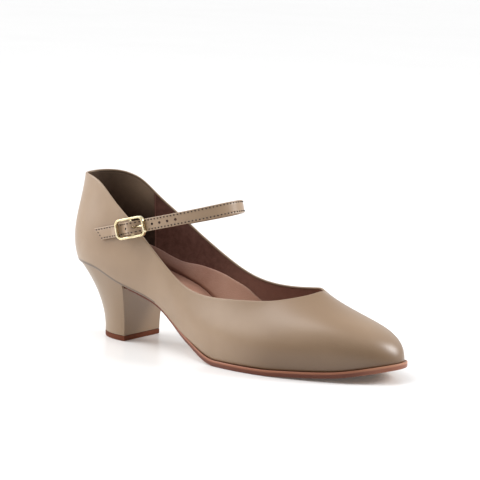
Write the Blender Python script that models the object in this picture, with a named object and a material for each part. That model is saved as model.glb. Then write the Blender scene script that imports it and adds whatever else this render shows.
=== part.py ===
"""Women's character shoe with a covered heel and an instep strap, the right one of a pair.

The shoe stands on its sole, toe to +X and outer side to -Y. The origin is the centre of the
heel's tread on the floor. Lengths are in metres.

The form of the last is a ring of sections round the feather line, where upper and sole meet.
Upper, insole, outsole and heel seat are all worked out from that ring.
"""

from collections import namedtuple

import bmesh
import bpy
import numpy as np

# Last
LENGTH = 0.243  # heel point to toe point of the feather line
BALL_WIDTH = 0.0750  # feather line across the ball
WAIST_WIDTH = 0.0497  # feather line across the waist
SEAT_WIDTH = 0.0516  # feather line across the heel seat
HEEL_RISE = 0.0350  # floor to the sole's underside at the heel's breast
TOE_SPRING = 0.0079  # floor to the sole's underside at the toe
THROAT_HEIGHT = 0.0450  # topline over the sole at the throat
INSTEP_HEIGHT = 0.0340  # topline over the sole at the instep
BACK_HEIGHT = 0.0567  # topline over the sole at the back

# Upper
UPPER_WALL = 0.0020  # leather and lining together
LASTING_MARGIN = 0.0090  # turned in under the insole
FEATHER_ROUND = 0.0020  # reach of the rounded corner at the feather line

# Outsole
SOLE_THICKNESS = 0.0034  # forepart
SHANK_THICKNESS = 0.0022  # waist and seat
WELT = 0.0019  # sole's edge outside the feather line at the forepart
EDGE_ROUND = 0.0007  # rounding of the sole's edge

# Insole
INSOLE_THICKNESS = 0.0024
ARCH_PAD = 0.0030  # crown of the padding under the arch
PAD_RISES = (0.22, 0.45)  # shares of LENGTH between which the padding rises
PAD_FALLS = (0.50, 0.74)
PAD_CROWN = 0.25  # its crown's place across the footbed, toward the inner side of 1

# Heel
TREAD_LENGTH = 0.0264  # front to back, at the floor
TREAD_WIDTH = 0.0364
TREAD_SETBACK = 0.0220  # heel point of the last to the back of the tread
SEAT_BREAST = 0.0510  # heel point of the last to the heel's breast at the seat
SEAT_RIM = 0.0012  # heel's rim inside the feather line
LIFT_THICKNESS = 0.0034

# Strap
STRAP_WIDTH = 0.0080
STRAP_THICKNESS = 0.0016
STRAP_SLOPE = 15.0  # degrees, rising to the front
STRAP_REACH = 0.0586  # buckle's centre to the front of the strap, along X
STRAP_LIFT = 0.0009  # front of the strap over its plane
STRAP_RISE = 0.0007  # strap's middle over the outer topline at the buckle
TAIL_LENGTH = 0.0310  # buckle's centre to the strap's cut end
TAIL_SLANT = 0.0057  # lower corner of the cut end ahead of the upper one
INNER_OVERLAP = 0.0200  # strap sewn down on the inner quarter

# Buckle
BUCKLE_SETBACK = 0.0635  # heel point of the last to the buckle's centre
FRAME_LENGTH = 0.0236
FRAME_WIDTH = 0.0132
FRAME_BAR = 0.0022  # width of the frame's bars
FRAME_DEPTH = 0.0025  # thickness of the frame's bars
FRAME_CORNER = 0.0032  # corner radius on the bars' centre line
CENTRE_BAR = 0.0014  # diameter
PRONG = 0.0011  # diameter
LOOP_WIDTH = 0.0074
LOOP_THICKNESS = 0.0007
LOOP_LENGTH = 0.0065  # loop's end behind the centre bar
LOOP_LIFT = 0.6  # height of its upper end over the centre bar, in shares of its bend

GAP = 0.0003  # between pieces that meet
LEAST_MERGE = 0.000001
NEAR = 0.001  # step in sections or shares for a slope

# Stations round the shoe for each section, and how finely the other forms are cut
STATIONS_A_SECTION = 5
OUTER_ROWS = 13
INNER_ROWS = 8
LOWEST_INNER_ROW = 0.12  # share of the way up
HEEL_LEVELS = (0.0, 0.08, 0.18, 0.30, 0.44, 0.60, 0.78, 1.0)
HEEL_ARC = 29
LID_COLUMNS = 4

# A section stands at edge_x on the feather line, and its topline point at top_x, both in shares of
# LENGTH from the heel point. edge_y and top_y are shares of the width that the section follows, with
# the outer side negative, and rise is a share of the height that it follows. The wall leaves the
# feather line at lean degrees over the outward level and reaches the topline at arrive degrees over
# the inward level. pull and hold are how far each of these directions carries, in shares of the
# straight way between. welt is the share of WELT by which the sole stands out.
Section = namedtuple(
    "Section", "width height edge_x edge_y top_x top_y rise lean pull arrive hold welt"
)
SECTIONS = [
    # width       height         edge_x  edge_y  top_x  top_y   rise   lean  pull  arrive hold  welt
    Section(BALL_WIDTH, THROAT_HEIGHT, 1.000, 0.057, 0.759, 0.057, 0.98, 94, 0.30, 31, 0.45, 1.0),
    Section(BALL_WIDTH, THROAT_HEIGHT, 0.962, -0.172, 0.751, -0.076, 0.96, 84, 0.34, 29, 0.45, 1.0),
    Section(BALL_WIDTH, THROAT_HEIGHT, 0.870, -0.355, 0.709, -0.239, 0.91, 78, 0.40, 38, 0.42, 1.0),
    Section(BALL_WIDTH, THROAT_HEIGHT, 0.755, -0.483, 0.649, -0.363, 0.87, 75, 0.42, 55, 0.42, 1.0),
    Section(BALL_WIDTH, INSTEP_HEIGHT, 0.630, -0.526, 0.558, -0.430, 1.13, 75, 0.40, 66, 0.40, 1.0),
    Section(BALL_WIDTH, INSTEP_HEIGHT, 0.490, -0.465, 0.457, -0.437, 0.94, 72, 0.38, 76, 0.38, 0.5),
    Section(WAIST_WIDTH, INSTEP_HEIGHT, 0.340, -0.558, 0.358, -0.608, 0.94, 70, 0.38, 84, 0.36, -0.8),
    Section(SEAT_WIDTH, BACK_HEIGHT, 0.180, -0.506, 0.231, -0.523, 0.79, 69, 0.38, 89, 0.36, -2.2),
    Section(SEAT_WIDTH, BACK_HEIGHT, 0.055, -0.386, 0.090, -0.363, 1.00, 70, 0.38, 87, 0.36, -2.8),
    Section(SEAT_WIDTH, BACK_HEIGHT, 0.000, 0.000, 0.006, -0.003, 1.00, 68, 0.38, 84, 0.36, -2.8),
    Section(SEAT_WIDTH, BACK_HEIGHT, 0.055, 0.399, 0.076, 0.392, 1.00, 69, 0.38, 85, 0.36, -2.8),
    Section(SEAT_WIDTH, BACK_HEIGHT, 0.180, 0.494, 0.214, 0.534, 0.75, 68, 0.38, 88, 0.36, -2.2),
    Section(WAIST_WIDTH, INSTEP_HEIGHT, 0.340, 0.442, 0.358, 0.557, 1.02, 62, 0.40, 84, 0.36, -0.6),
    Section(BALL_WIDTH, INSTEP_HEIGHT, 0.490, 0.306, 0.468, 0.366, 1.09, 62, 0.42, 76, 0.38, 0.3),
    Section(BALL_WIDTH, INSTEP_HEIGHT, 0.630, 0.413, 0.561, 0.379, 1.17, 70, 0.42, 66, 0.40, 1.0),
    Section(BALL_WIDTH, THROAT_HEIGHT, 0.750, 0.474, 0.651, 0.359, 0.91, 75, 0.42, 56, 0.42, 1.0),
    Section(BALL_WIDTH, THROAT_HEIGHT, 0.870, 0.417, 0.709, 0.282, 0.96, 78, 0.40, 43, 0.42, 1.0),
    Section(BALL_WIDTH, THROAT_HEIGHT, 0.965, 0.262, 0.746, 0.172, 0.94, 83, 0.34, 38, 0.45, 1.0),
]
BACK = SECTIONS.index(min(SECTIONS, key=lambda section: section.edge_x))
OUTER_QUARTER = (BACK - 4, BACK)  # sections from the outer instep to the back
INNER_QUARTER = (BACK, BACK + 4)

# Long profile of the sole: at forward, a share of LENGTH, it stands at a share of HEEL_RISE and a
# share of TOE_SPRING. It is level under the ball.
Profile = namedtuple("Profile", "forward heel spring")
BOTTOM = [
    Profile(0.00, 1.26, 0.00),
    Profile(0.10, 1.22, 0.00),
    Profile(0.20, 1.00, 0.00),
    Profile(0.32, 0.78, 0.00),
    Profile(0.45, 0.27, 0.00),
    Profile(0.56, 0.00, 0.00),
    Profile(0.63, 0.00, 0.00),
    Profile(0.70, 0.00, 0.00),
    Profile(0.78, 0.00, 0.12),
    Profile(0.88, 0.00, 0.32),
    Profile(1.00, 0.00, 1.00),
]
SHANK_END = (0.38, 0.53)  # shares of LENGTH where the sole thickens to the forepart

HEEL_POINT = -(TREAD_SETBACK + TREAD_LENGTH / 2)
UP = np.array([0.0, 0.0, 1.0])


def smooth(value, start, end):
    """0 up to start, 1 from end on, and an even S between them."""
    share = np.clip((value - start) / (end - start), 0.0, 1.0)
    return share * share * (3.0 - 2.0 * share)


def monotone_curve(x, knots, values):
    """A cubic through the knots that never overshoots them, and runs on straight past both ends."""
    step = np.diff(knots)
    slope = np.diff(values) / step
    tangent = np.zeros(len(knots))
    tangent[0], tangent[-1] = slope[0], slope[-1]
    for i in range(1, len(knots) - 1):
        if slope[i - 1] * slope[i] > 0.0:
            near, far = 2 * step[i] + step[i - 1], step[i] + 2 * step[i - 1]
            tangent[i] = (near + far) / (near / slope[i - 1] + far / slope[i])
    x = np.asarray(x, float)
    inside = np.clip(x, knots[0], knots[-1])
    i = np.clip(np.searchsorted(knots, inside, side="right") - 1, 0, len(knots) - 2)
    f = (inside - knots[i]) / step[i]
    curve = (
        (2 * f**3 - 3 * f**2 + 1) * values[i]
        + (f**3 - 2 * f**2 + f) * step[i] * tangent[i]
        + (3 * f**2 - 2 * f**3) * values[i + 1]
        + (f**3 - f**2) * step[i] * tangent[i + 1]
    )
    return curve + (x - inside) * np.where(x > inside, tangent[-1], tangent[0])


def ring_curve(rows, t):
    """A closed cubic spline through rows that lie at t = 0, 1, 2 and so on, and joins its ends."""
    rows = np.asarray(rows, float)
    count = len(rows)
    band = 4 * np.eye(count) + np.roll(np.eye(count), 1, 1) + np.roll(np.eye(count), -1, 1)
    slope = np.linalg.solve(band, 3 * (np.roll(rows, -1, 0) - np.roll(rows, 1, 0)))
    t = np.asarray(t, float) % count
    i = np.floor(t).astype(int)
    j = (i + 1) % count
    f = (t - i)[:, None]
    return (
        (2 * f**3 - 3 * f**2 + 1) * rows[i]
        + (f**3 - 2 * f**2 + f) * slope[i]
        + (3 * f**2 - 2 * f**3) * rows[j]
        + (f**3 - f**2) * slope[j]
    )


def unit(vectors):
    return vectors / np.linalg.norm(vectors, axis=-1, keepdims=True)


def sole_top(x):
    """Height of the outsole's upper face at x."""
    knots = np.array([row.forward for row in BOTTOM])
    heights = np.array([row.heel * HEEL_RISE + row.spring * TOE_SPRING for row in BOTTOM])
    return SOLE_THICKNESS + monotone_curve((x - HEEL_POINT) / LENGTH, knots, heights)


def sole_bottom(x):
    forward = (x - HEEL_POINT) / LENGTH
    thickness = SHANK_THICKNESS + (SOLE_THICKNESS - SHANK_THICKNESS) * smooth(forward, *SHANK_END)
    return sole_top(x) - thickness


def feather_line(t):
    """x and y of the feather line, t sections on from the toe by way of the outer side."""
    rows = [(HEEL_POINT + s.edge_x * LENGTH, s.edge_y * s.width) for s in SECTIONS]
    return ring_curve(rows, t)


def inward(t):
    """Level directions square to the feather line, into the shoe."""
    tangent = feather_line(t + NEAR) - feather_line(t - NEAR)
    return unit(np.stack([tangent[:, 1], -tangent[:, 0], np.zeros(len(t))], 1))


def topline(t):
    rows = [(HEEL_POINT + s.top_x * LENGTH, s.top_y * s.width, s.rise * s.height) for s in SECTIONS]
    points = ring_curve(rows, t)
    points[:, 2] += sole_top(points[:, 0])
    return points


def upper_face(t, h):
    """Outer face of the upper, t sections round and h of the way up: rows of h, columns of t.

    Each column is a cubic Bezier curve from the feather line to the topline.
    """
    side = inward(t)
    foot = np.column_stack([feather_line(t), np.zeros(len(t))])
    foot[:, 2] = sole_top(foot[:, 0]) + GAP
    head = topline(t)
    shape = ring_curve([(s.lean, s.pull, s.arrive, s.hold) for s in SECTIONS], t)
    lean, pull, arrive, hold = shape.T[:, :, None]
    span = np.linalg.norm(head - foot, axis=1, keepdims=True)
    lean, arrive = np.radians(lean), np.radians(arrive)
    low = foot + pull * span * (UP * np.sin(lean) - side * np.cos(lean))
    high = head - hold * span * (UP * np.sin(arrive) + side * np.cos(arrive))
    h = np.asarray(h, float)[:, None, None]
    return (
        (1 - h) ** 3 * foot
        + 3 * (1 - h) ** 2 * h * low
        + 3 * (1 - h) * h**2 * high
        + h**3 * head
    )


def outward(t, h):
    """Directions square to the upper's outer face, away from the foot."""
    h = np.asarray(h, float)
    around = upper_face(t + NEAR, h) - upper_face(t - NEAR, h)
    upward = upper_face(t, np.minimum(h + NEAR, 1.0)) - upper_face(t, h - NEAR)
    return unit(np.cross(upward, around))


T = np.arange(0, len(SECTIONS), 1 / STATIONS_A_SECTION)


def ring(inset, height):
    """The feather line moved in by inset, at a height over the outsole's upper face."""
    points = np.column_stack([feather_line(T), np.zeros(len(T))])
    points += np.reshape(inset, (-1, 1)) * inward(T)
    points[:, 2] = sole_top(points[:, 0]) + height
    return points


def lid(edge, height_at=None, columns=LID_COLUMNS):
    """Closes a ring with strips from each outer point to the inner point across from it.

    height_at gives z from x and from the place across the strip, -1 to 1.
    """
    half = len(edge) // 2
    outer = edge[: half + 1]
    inner = np.roll(edge[::-1], 1, 0)[: half + 1]
    share = np.linspace(0, 1, columns + 1)[None, :, None]
    grid = outer[:, None] * (1 - share) + inner[:, None] * share
    if height_at is not None:
        grid[:, :, 2] = height_at(grid[:, :, 0], 2 * share[:, :, 0] - 1)
    return grid


def new_material(name, colour, roughness, metallic=0.0):
    material = bpy.data.materials.new(name)
    material.use_nodes = True
    shader = material.node_tree.nodes["Principled BSDF"]
    shader.inputs["Base Color"].default_value = (*colour, 1.0)
    shader.inputs["Roughness"].default_value = roughness
    shader.inputs["Metallic"].default_value = metallic
    return material


def add_solid(name, patches, material, caps=()):
    """One closed mesh from grids of points, joined where their edges meet.

    A patch is a grid, its rows closed round where they are given as (grid, True), and a cap is a
    flat ring of points.
    """
    points, faces = [], []
    for patch in patches:
        grid, closed = patch if isinstance(patch, tuple) else (patch, False)
        rows, columns = grid.shape[:2]
        index = np.arange(rows * columns).reshape(rows, columns) + len(points)
        if closed:
            index = np.column_stack([index, index[:, 0]])
        corners = (index[:-1, :-1], index[:-1, 1:], index[1:, 1:], index[1:, :-1])
        faces += np.stack(corners, -1).reshape(-1, 4).tolist()
        points += grid.reshape(-1, 3).tolist()
    for cap in caps:
        faces.append([len(points) + i for i in range(len(cap))])
        points += np.asarray(cap).tolist()
    mesh = bpy.data.meshes.new(name)
    mesh.from_pydata(points, [], faces)
    shape = bmesh.new()
    shape.from_mesh(mesh)
    bmesh.ops.remove_doubles(shape, verts=shape.verts, dist=LEAST_MERGE)
    bmesh.ops.dissolve_degenerate(shape, edges=shape.edges, dist=LEAST_MERGE)
    bmesh.ops.recalc_face_normals(shape, faces=shape.faces)
    shape.to_mesh(mesh)
    shape.free()
    mesh.shade_smooth()
    mesh.set_sharp_from_angle(angle=np.radians(40))
    mesh.materials.append(material)
    solid = bpy.data.objects.new(name, mesh)
    bpy.context.scene.collection.objects.link(solid)
    return solid


def cut_or_join(solid, helper, operation):
    """A Boolean on solid, with a helper that isn't part of the shoe."""
    helper.hide_render = True
    helper.display_type = "WIRE"
    modifier = solid.modifiers.new(helper.name, "BOOLEAN")
    modifier.operation = operation
    modifier.solver = "EXACT"
    modifier.object = helper


def add_upper(material):
    """The lasted shell: outer face, rounded topline, inner face and the margin turned in below."""
    heights = np.linspace(0, 1, OUTER_ROWS + 1)[1:]
    outer = upper_face(T, heights)
    across = outward(T, [1.0])[0]
    along = unit(outer[-1] - outer[-2])
    half_wall = UPPER_WALL / 2
    outer[-1] -= half_wall * along
    centre = outer[-1] - half_wall * across
    edge = [
        centre + half_wall * (np.cos(angle) * across + np.sin(angle) * along)
        for angle in np.radians((45, 90, 135))
    ]
    corner = ring(0.25 * FEATHER_ROUND, GAP + 0.25 * FEATHER_ROUND)
    rows = [
        ring(LASTING_MARGIN, GAP),
        ring(FEATHER_ROUND, GAP),
        corner,
        *outer,
        *edge,
        *inner_face(),
        ring(LASTING_MARGIN, GAP + UPPER_WALL),
    ]
    rows.append(rows[0])
    return add_solid("upper", [(np.array(rows), True)], material)


def inner_face():
    """Rows of the upper's inner face, from the topline down to the margin."""
    heights = np.linspace(1.0, LOWEST_INNER_ROW, INNER_ROWS)
    face = upper_face(T, heights) - UPPER_WALL * outward(T, heights)
    along = unit(face[0] - face[1])
    face[0] -= UPPER_WALL / 2 * along
    return [*face, ring(UPPER_WALL, GAP + UPPER_WALL)]


def inner_wall_at(rise):
    """The upper's inner face at a height over the feather line, moved in by the gap."""
    rows = np.array(inner_face())[::-1]
    base = ring(0, 0)
    points = ring(0, rise)
    for station in range(len(T)):
        column = rows[:, station]
        height = column[:, 2] - base[station, 2]
        for axis in (0, 1):
            points[station, axis] = np.interp(rise, height, column[:, axis])
    points += GAP * inward(T)
    points[:, 2] = sole_top(points[:, 0]) + rise
    return points


def add_outsole(material):
    """The sole: proud of the upper at the forepart, tucked in at the waist, inside the heel's rim."""
    out = WELT * ring_curve([(s.welt,) for s in SECTIONS], T)[:, 0]
    top = ring(EDGE_ROUND / 2 - out, 0)
    brim = ring(-out, -EDGE_ROUND)
    waist = ring(-out, 0)
    waist[:, 2] = sole_bottom(waist[:, 0]) + EDGE_ROUND
    tread = ring(EDGE_ROUND - out, 0)
    tread[:, 2] = sole_bottom(tread[:, 0])
    sides = np.array([top, brim, waist, tread])
    lids = [
        lid(top, lambda x, across: sole_top(x), 2),
        lid(tread, lambda x, across: sole_bottom(x), 2),
    ]
    return add_solid("outsole", [(sides, True), *lids], material)


def add_seat_cutter(material):
    """The outsole's seat with its clearance, which the heel's cup is cut to."""
    out = WELT * ring_curve([(s.welt,) for s in SECTIONS], T)[:, 0] + GAP
    floor = ring(-out, 0)
    floor[:, 2] = sole_bottom(floor[:, 0]) - GAP
    over = ring(-out, LIFT_THICKNESS)
    lids = [
        lid(floor, lambda x, across: sole_bottom(x) - GAP, 2),
        lid(over, lambda x, across: sole_top(x) + LIFT_THICKNESS, 2),
    ]
    return add_solid("seat_cutter", [(np.array([floor, over]), True), *lids], material)


def add_insole(material):
    """The footbed on the margin, with filler between the margins and a crown under the arch."""
    under = GAP + UPPER_WALL + GAP
    edge = under + INSOLE_THICKNESS

    def footbed(x, across):
        forward = (x - HEEL_POINT) / LENGTH
        along = smooth(forward, *PAD_RISES) * (1 - smooth(forward, *PAD_FALLS))
        leaning = 1 - ((across - PAD_CROWN) / (1 + PAD_CROWN)) ** 2
        return sole_top(x) + edge + ARCH_PAD * along * leaning * (1 - across**2)

    brim = inner_wall_at(edge)
    sides = [
        ring(LASTING_MARGIN + GAP, GAP),
        ring(LASTING_MARGIN + GAP, under),
        ring(UPPER_WALL + 2 * GAP, under),
        brim,
    ]
    lids = [
        lid(sides[0], lambda x, across: sole_top(x) + GAP, 2),
        lid(brim, footbed, 2 * LID_COLUMNS),
    ]
    return add_solid("insole", [(np.array(sides), True), *lids], material)


def seat_arc():
    """The heel's rim along the feather line, from the breast round the back to the breast."""
    t = np.linspace(*OUTER_QUARTER, 200)
    first = np.interp(-SEAT_BREAST, HEEL_POINT - feather_line(t)[:, 0], t)
    t = np.linspace(*INNER_QUARTER, 200)
    last = np.interp(SEAT_BREAST, feather_line(t)[:, 0] - HEEL_POINT, t)
    t = np.linspace(first, last, HEEL_ARC)
    arc = feather_line(t) + SEAT_RIM * inward(t)[:, :2]
    arc[0, 0] = arc[-1, 0] = HEEL_POINT + SEAT_BREAST
    return np.column_stack([arc, sole_top(arc[:, 0])])


def tread_arc(height):
    """The heel's outline at the floor, a half ellipse behind a straight breast."""
    angle = np.linspace(-np.pi / 2, np.pi / 2, HEEL_ARC)
    x = TREAD_LENGTH / 2 - TREAD_LENGTH * np.cos(angle)
    y = TREAD_WIDTH / 2 * np.sin(angle)
    return np.column_stack([x, y, np.full(HEEL_ARC, height)])


def add_d_block(name, arcs, material, height_at):
    """A block between D-shaped outlines, each an arc closed by a straight breast."""
    share = np.linspace(0, 1, LID_COLUMNS + 1)[None, :, None]
    arcs = np.array(arcs)
    breast = arcs[:, :1] * (1 - share) + arcs[:, -1:] * share
    half = HEEL_ARC // 2 + 1
    ends = []
    for arc, at in ((arcs[0], height_at), (arcs[-1], None)):
        grid = arc[:half, None] * (1 - share) + arc[::-1][:half, None] * share
        if at is not None:
            grid[1:, :, 2] = at(grid[1:, :, 0])
        ends.append(grid)
    return add_solid(name, [arcs, breast, *ends], material)


def add_heel(material):
    """The covered block: its sides run in fast below the seat and stand nearly straight at the lift."""
    top, foot = seat_arc(), tread_arc(LIFT_THICKNESS + GAP)
    arcs = []
    for level in HEEL_LEVELS:
        gone = 1 - (1 - level) ** 2
        arc = top * (1 - gone) + foot * gone
        arc[:, 2] = top[:, 2] * (1 - level) + foot[:, 2] * level
        arcs.append(arc)
    return add_d_block("heel", arcs, material, sole_top)


def add_top_lift(material):
    worn = 1 - EDGE_ROUND / TREAD_LENGTH
    foot = tread_arc(0.0)
    foot[:, :2] *= worn
    arcs = [tread_arc(LIFT_THICKNESS), tread_arc(EDGE_ROUND), foot]
    return add_d_block("top_lift", arcs, material, None)


# The strap lies in one plane that rises to the front. Along runs forward in that plane and across
# runs up in it, both from the buckle's centre.
SLOPE = np.radians(STRAP_SLOPE)
ALONG = np.array([np.cos(SLOPE), 0.0, np.sin(SLOPE)])
ACROSS = np.array([-np.sin(SLOPE), 0.0, np.cos(SLOPE)])
OUT = np.array([0.0, -1.0, 0.0])

QUARTER_ROWS = np.linspace(0, 1, 40)
OUTER_FACE = upper_face(np.linspace(*OUTER_QUARTER, 60), QUARTER_ROWS)
INNER_FACE = upper_face(np.linspace(*INNER_QUARTER, 60), QUARTER_ROWS)


def quarter_y(face, x, z):
    """y of a quarter's outer face at x and z. Over the topline it runs on straight up."""
    level = np.array(
        [[np.interp(z, column[:, 2], column[:, axis]) for axis in (0, 1)] for column in face.swapaxes(0, 1)]
    )
    level = level[np.argsort(level[:, 0])]
    return np.interp(x, level[:, 0], level[:, 1])


def topline_z(face, x):
    edge = face[-1][np.argsort(face[-1][:, 0])]
    return np.interp(x, edge[:, 0], edge[:, 2])


BUCKLE_X = HEEL_POINT + BUCKLE_SETBACK
STRAP_ORIGIN = np.array([BUCKLE_X, 0.0, topline_z(OUTER_FACE, BUCKLE_X) + STRAP_RISE])


def strap_place(along, across):
    """x and z of a point in the strap's plane."""
    point = STRAP_ORIGIN + along * ALONG + across * ACROSS
    return point[0], point[2]


def outermost(face, half_length, half_width):
    """y of the quarter's most outward point under a rectangle round the buckle's centre."""
    places = [
        strap_place(along, across)
        for along in np.linspace(-half_length, half_length, 5)
        for across in np.linspace(-half_width, half_width, 5)
    ]
    return min(quarter_y(face, x, z) for x, z in places)


# Heights over the quarter under the buckle, outwards
BUCKLE_BASE = outermost(OUTER_FACE, FRAME_LENGTH / 2, FRAME_WIDTH / 2)
CENTRE_BAR_HEIGHT = GAP + PRONG + GAP + CENTRE_BAR / 2 + 2 * GAP
STRAP_OVER = CENTRE_BAR_HEIGHT + CENTRE_BAR / 2 + LOOP_THICKNESS + 3 * GAP + STRAP_THICKNESS / 2
STRAP_UNDER = 2 * GAP + LOOP_THICKNESS / 3 + STRAP_THICKNESS / 2
FRAME_HEIGHT = STRAP_UNDER + STRAP_THICKNESS / 2 + 1.5 * GAP + FRAME_DEPTH / 2
END_BAR = (FRAME_LENGTH - FRAME_BAR) / 2  # centre bar to each end bar
SIDE_BAR = (FRAME_WIDTH - FRAME_BAR) / 2
HUMP = END_BAR - FRAME_BAR / 2 - GAP  # half length of the strap's hump over the centre bar
SLOT_END = 0.7  # share of HUMP at which the prong's slot ends
STRAP_TURN = 0.7 * END_BAR  # where the strap starts to bend round the instep
FADE = 0.0080  # stretch in which the strap settles on the quarter


def buckle_point(along, across, height):
    """A point over the quarter under the buckle."""
    point = STRAP_ORIGIN + along * ALONG + across * ACROSS + height * OUT
    point[1] += BUCKLE_BASE
    return point


def outer_strap_point(along, across, height):
    """A point of the strap from its cut end to the bend, height out from its middle."""
    x, z = strap_place(along, across)
    at_buckle = smooth(along, -FRAME_LENGTH / 2 - FADE, -FRAME_LENGTH / 2)
    base = quarter_y(OUTER_FACE, x, z) * (1 - at_buckle) + BUCKLE_BASE * at_buckle
    hump = np.cos(np.pi / 2 * min(abs(along) / HUMP, 1.0)) ** 2
    middle = GAP + STRAP_THICKNESS / 2
    middle += at_buckle * (STRAP_UNDER - middle) + hump * (STRAP_OVER - STRAP_UNDER)
    return np.array([x, base - middle - height, z])


def inner_strap_point(along, across, height):
    """A point of the strap on the inner quarter."""
    x, z = strap_place(along, across)
    near = smooth(along, -FADE, STRAP_TURN)
    flat = quarter_y(INNER_FACE, *strap_place(0.0, 0.0))
    base = quarter_y(INNER_FACE, x, z) * (1 - near) + flat * near
    return np.array([x, base + GAP + STRAP_THICKNESS / 2 + height, z])


def arch_strap_point(angle, across, height):
    """A point of the strap round the instep, half an ellipse that lifts a little at the front."""
    start = outer_strap_point(STRAP_TURN, 0.0, 0.0)[1]
    end = inner_strap_point(STRAP_TURN, 0.0, 0.0)[1]
    reach = STRAP_REACH / np.cos(SLOPE) - STRAP_TURN
    half = (end - start) / 2
    square = unit(np.array([half * np.sin(angle), -reach * np.cos(angle)]))
    along = STRAP_TURN + reach * np.sin(angle) + height * square[0]
    x, z = strap_place(along, across + STRAP_LIFT * np.sin(angle) ** 4)
    return np.array([x, (start + end) / 2 - half * np.cos(angle) + height * square[1], z])


def add_strap(material):
    """The strap: its cut end on the outer quarter, through the buckle, round to the inner quarter."""
    w, d, edge = STRAP_WIDTH / 2, STRAP_THICKNESS / 2, STRAP_THICKNESS / 4
    outline = [(w, d - edge), (w - edge, d), (0, d), (edge - w, d), (-w, d - edge)]
    section = outline + [(across, -height) for across, height in outline[::-1]]
    rows = []
    for along in np.linspace(-TAIL_LENGTH, -HUMP, 8)[:-1]:
        slant = smooth(-along, HUMP + FRAME_BAR, TAIL_LENGTH) * TAIL_SLANT / STRAP_WIDTH
        rows.append([outer_strap_point(along - slant * a, a, h) for a, h in section])
    for along in np.linspace(-HUMP, STRAP_TURN, 14)[:-1]:
        rows.append([outer_strap_point(along, a, h) for a, h in section])
    for angle in np.linspace(0, np.pi, 25):
        rows.append([arch_strap_point(angle, a, h) for a, h in section])
    for along in np.linspace(STRAP_TURN, -INNER_OVERLAP, 7)[1:]:
        rows.append([inner_strap_point(along, a, h) for a, h in section])
    return add_solid("strap", [(np.array(rows), True)], material, [rows[0], rows[-1]])


def add_hole_cutter(material):
    """A slot in the strap ahead of the centre bar, for the prong."""
    half_width = PRONG / 2 + GAP
    ends = (CENTRE_BAR / 2 + 5 * GAP, SLOT_END * HUMP)
    outline = [(ends[0], -half_width), (ends[1], -half_width), (ends[1], half_width), (ends[0], half_width)]
    rows = [
        [buckle_point(along, across, height) for along, across in outline]
        for height in (0.0, STRAP_OVER + STRAP_THICKNESS)
    ]
    return add_solid("hole_cutter", [(np.array(rows), True)], material, rows)


def round_section(diameter, sides=8):
    angle = (np.arange(sides) + 0.5) * 2 * np.pi / sides
    return np.column_stack([np.cos(angle), np.sin(angle)]) * diameter / 2


def sweep(path, axis, section, closed=False):
    """Carries a section along a path that lies square to axis: offsets in its plane and along axis."""
    path = np.asarray(path)
    if closed:
        tangent = np.roll(path, -1, 0) - np.roll(path, 1, 0)
    else:
        tangent = np.gradient(path, axis=0)
    side = np.cross(axis, unit(tangent))
    rows = path[:, None] + section[None, :, :1] * side[:, None] + section[None, :, 1:] * axis
    return np.concatenate([rows, rows[:1]]) if closed else rows


def add_buckle_frame(material):
    """The frame: a rounded rectangle of wire with the centre bar let into its long sides."""
    corner = np.radians(np.linspace(0, 90, 6))
    path = []
    for turn, (x, y) in enumerate(((1, 1), (-1, 1), (-1, -1), (1, -1))):
        centre = (x * (END_BAR - FRAME_CORNER), y * (SIDE_BAR - FRAME_CORNER))
        for angle in corner + turn * np.pi / 2:
            along = centre[0] + FRAME_CORNER * np.cos(angle)
            across = centre[1] + FRAME_CORNER * np.sin(angle)
            path.append(buckle_point(along, across, FRAME_HEIGHT))
    section = round_section(1.0) / np.cos(np.pi / 8) * (FRAME_BAR, FRAME_DEPTH)
    frame = add_solid("buckle_frame", [(sweep(path, OUT, section, closed=True), True)], material)
    ends = [buckle_point(0, side * SIDE_BAR, CENTRE_BAR_HEIGHT) for side in (-1, 1)]
    bar = sweep(ends, ALONG, round_section(CENTRE_BAR))
    helper = add_solid("centre_bar", [(bar, True)], material, bar)
    cut_or_join(frame, helper, "UNION")
    return frame


def add_buckle_prong(material):
    """The prong: hooked round the centre bar, up through the strap and over the front bar."""
    hook = (CENTRE_BAR + PRONG) / 2 + GAP
    angle = np.radians(np.linspace(120, 315, 8))
    path = [(hook * np.cos(a), CENTRE_BAR_HEIGHT + hook * np.sin(a)) for a in angle]
    rest = FRAME_HEIGHT + (FRAME_DEPTH + PRONG) / 2 + GAP
    start = np.array(path[-1])
    rise = (rest - start[1]) * 0.3
    curve = [start, start + rise, (END_BAR * 0.8, rest), (END_BAR, rest)]
    for u in np.linspace(0, 1, 8)[1:]:
        weights = ((1 - u) ** 3, 3 * (1 - u) ** 2 * u, 3 * (1 - u) * u**2, u**3)
        path.append(sum(weight * np.array(point) for weight, point in zip(weights, curve)))
    path.append((END_BAR + FRAME_BAR * 0.6, rest - GAP / 2))
    points = [buckle_point(along, 0.0, height) for along, height in path]
    wire = sweep(points, ACROSS, round_section(PRONG))
    return add_solid("buckle_prong", [(wire, True)], material, [wire[0], wire[-1]])


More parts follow.
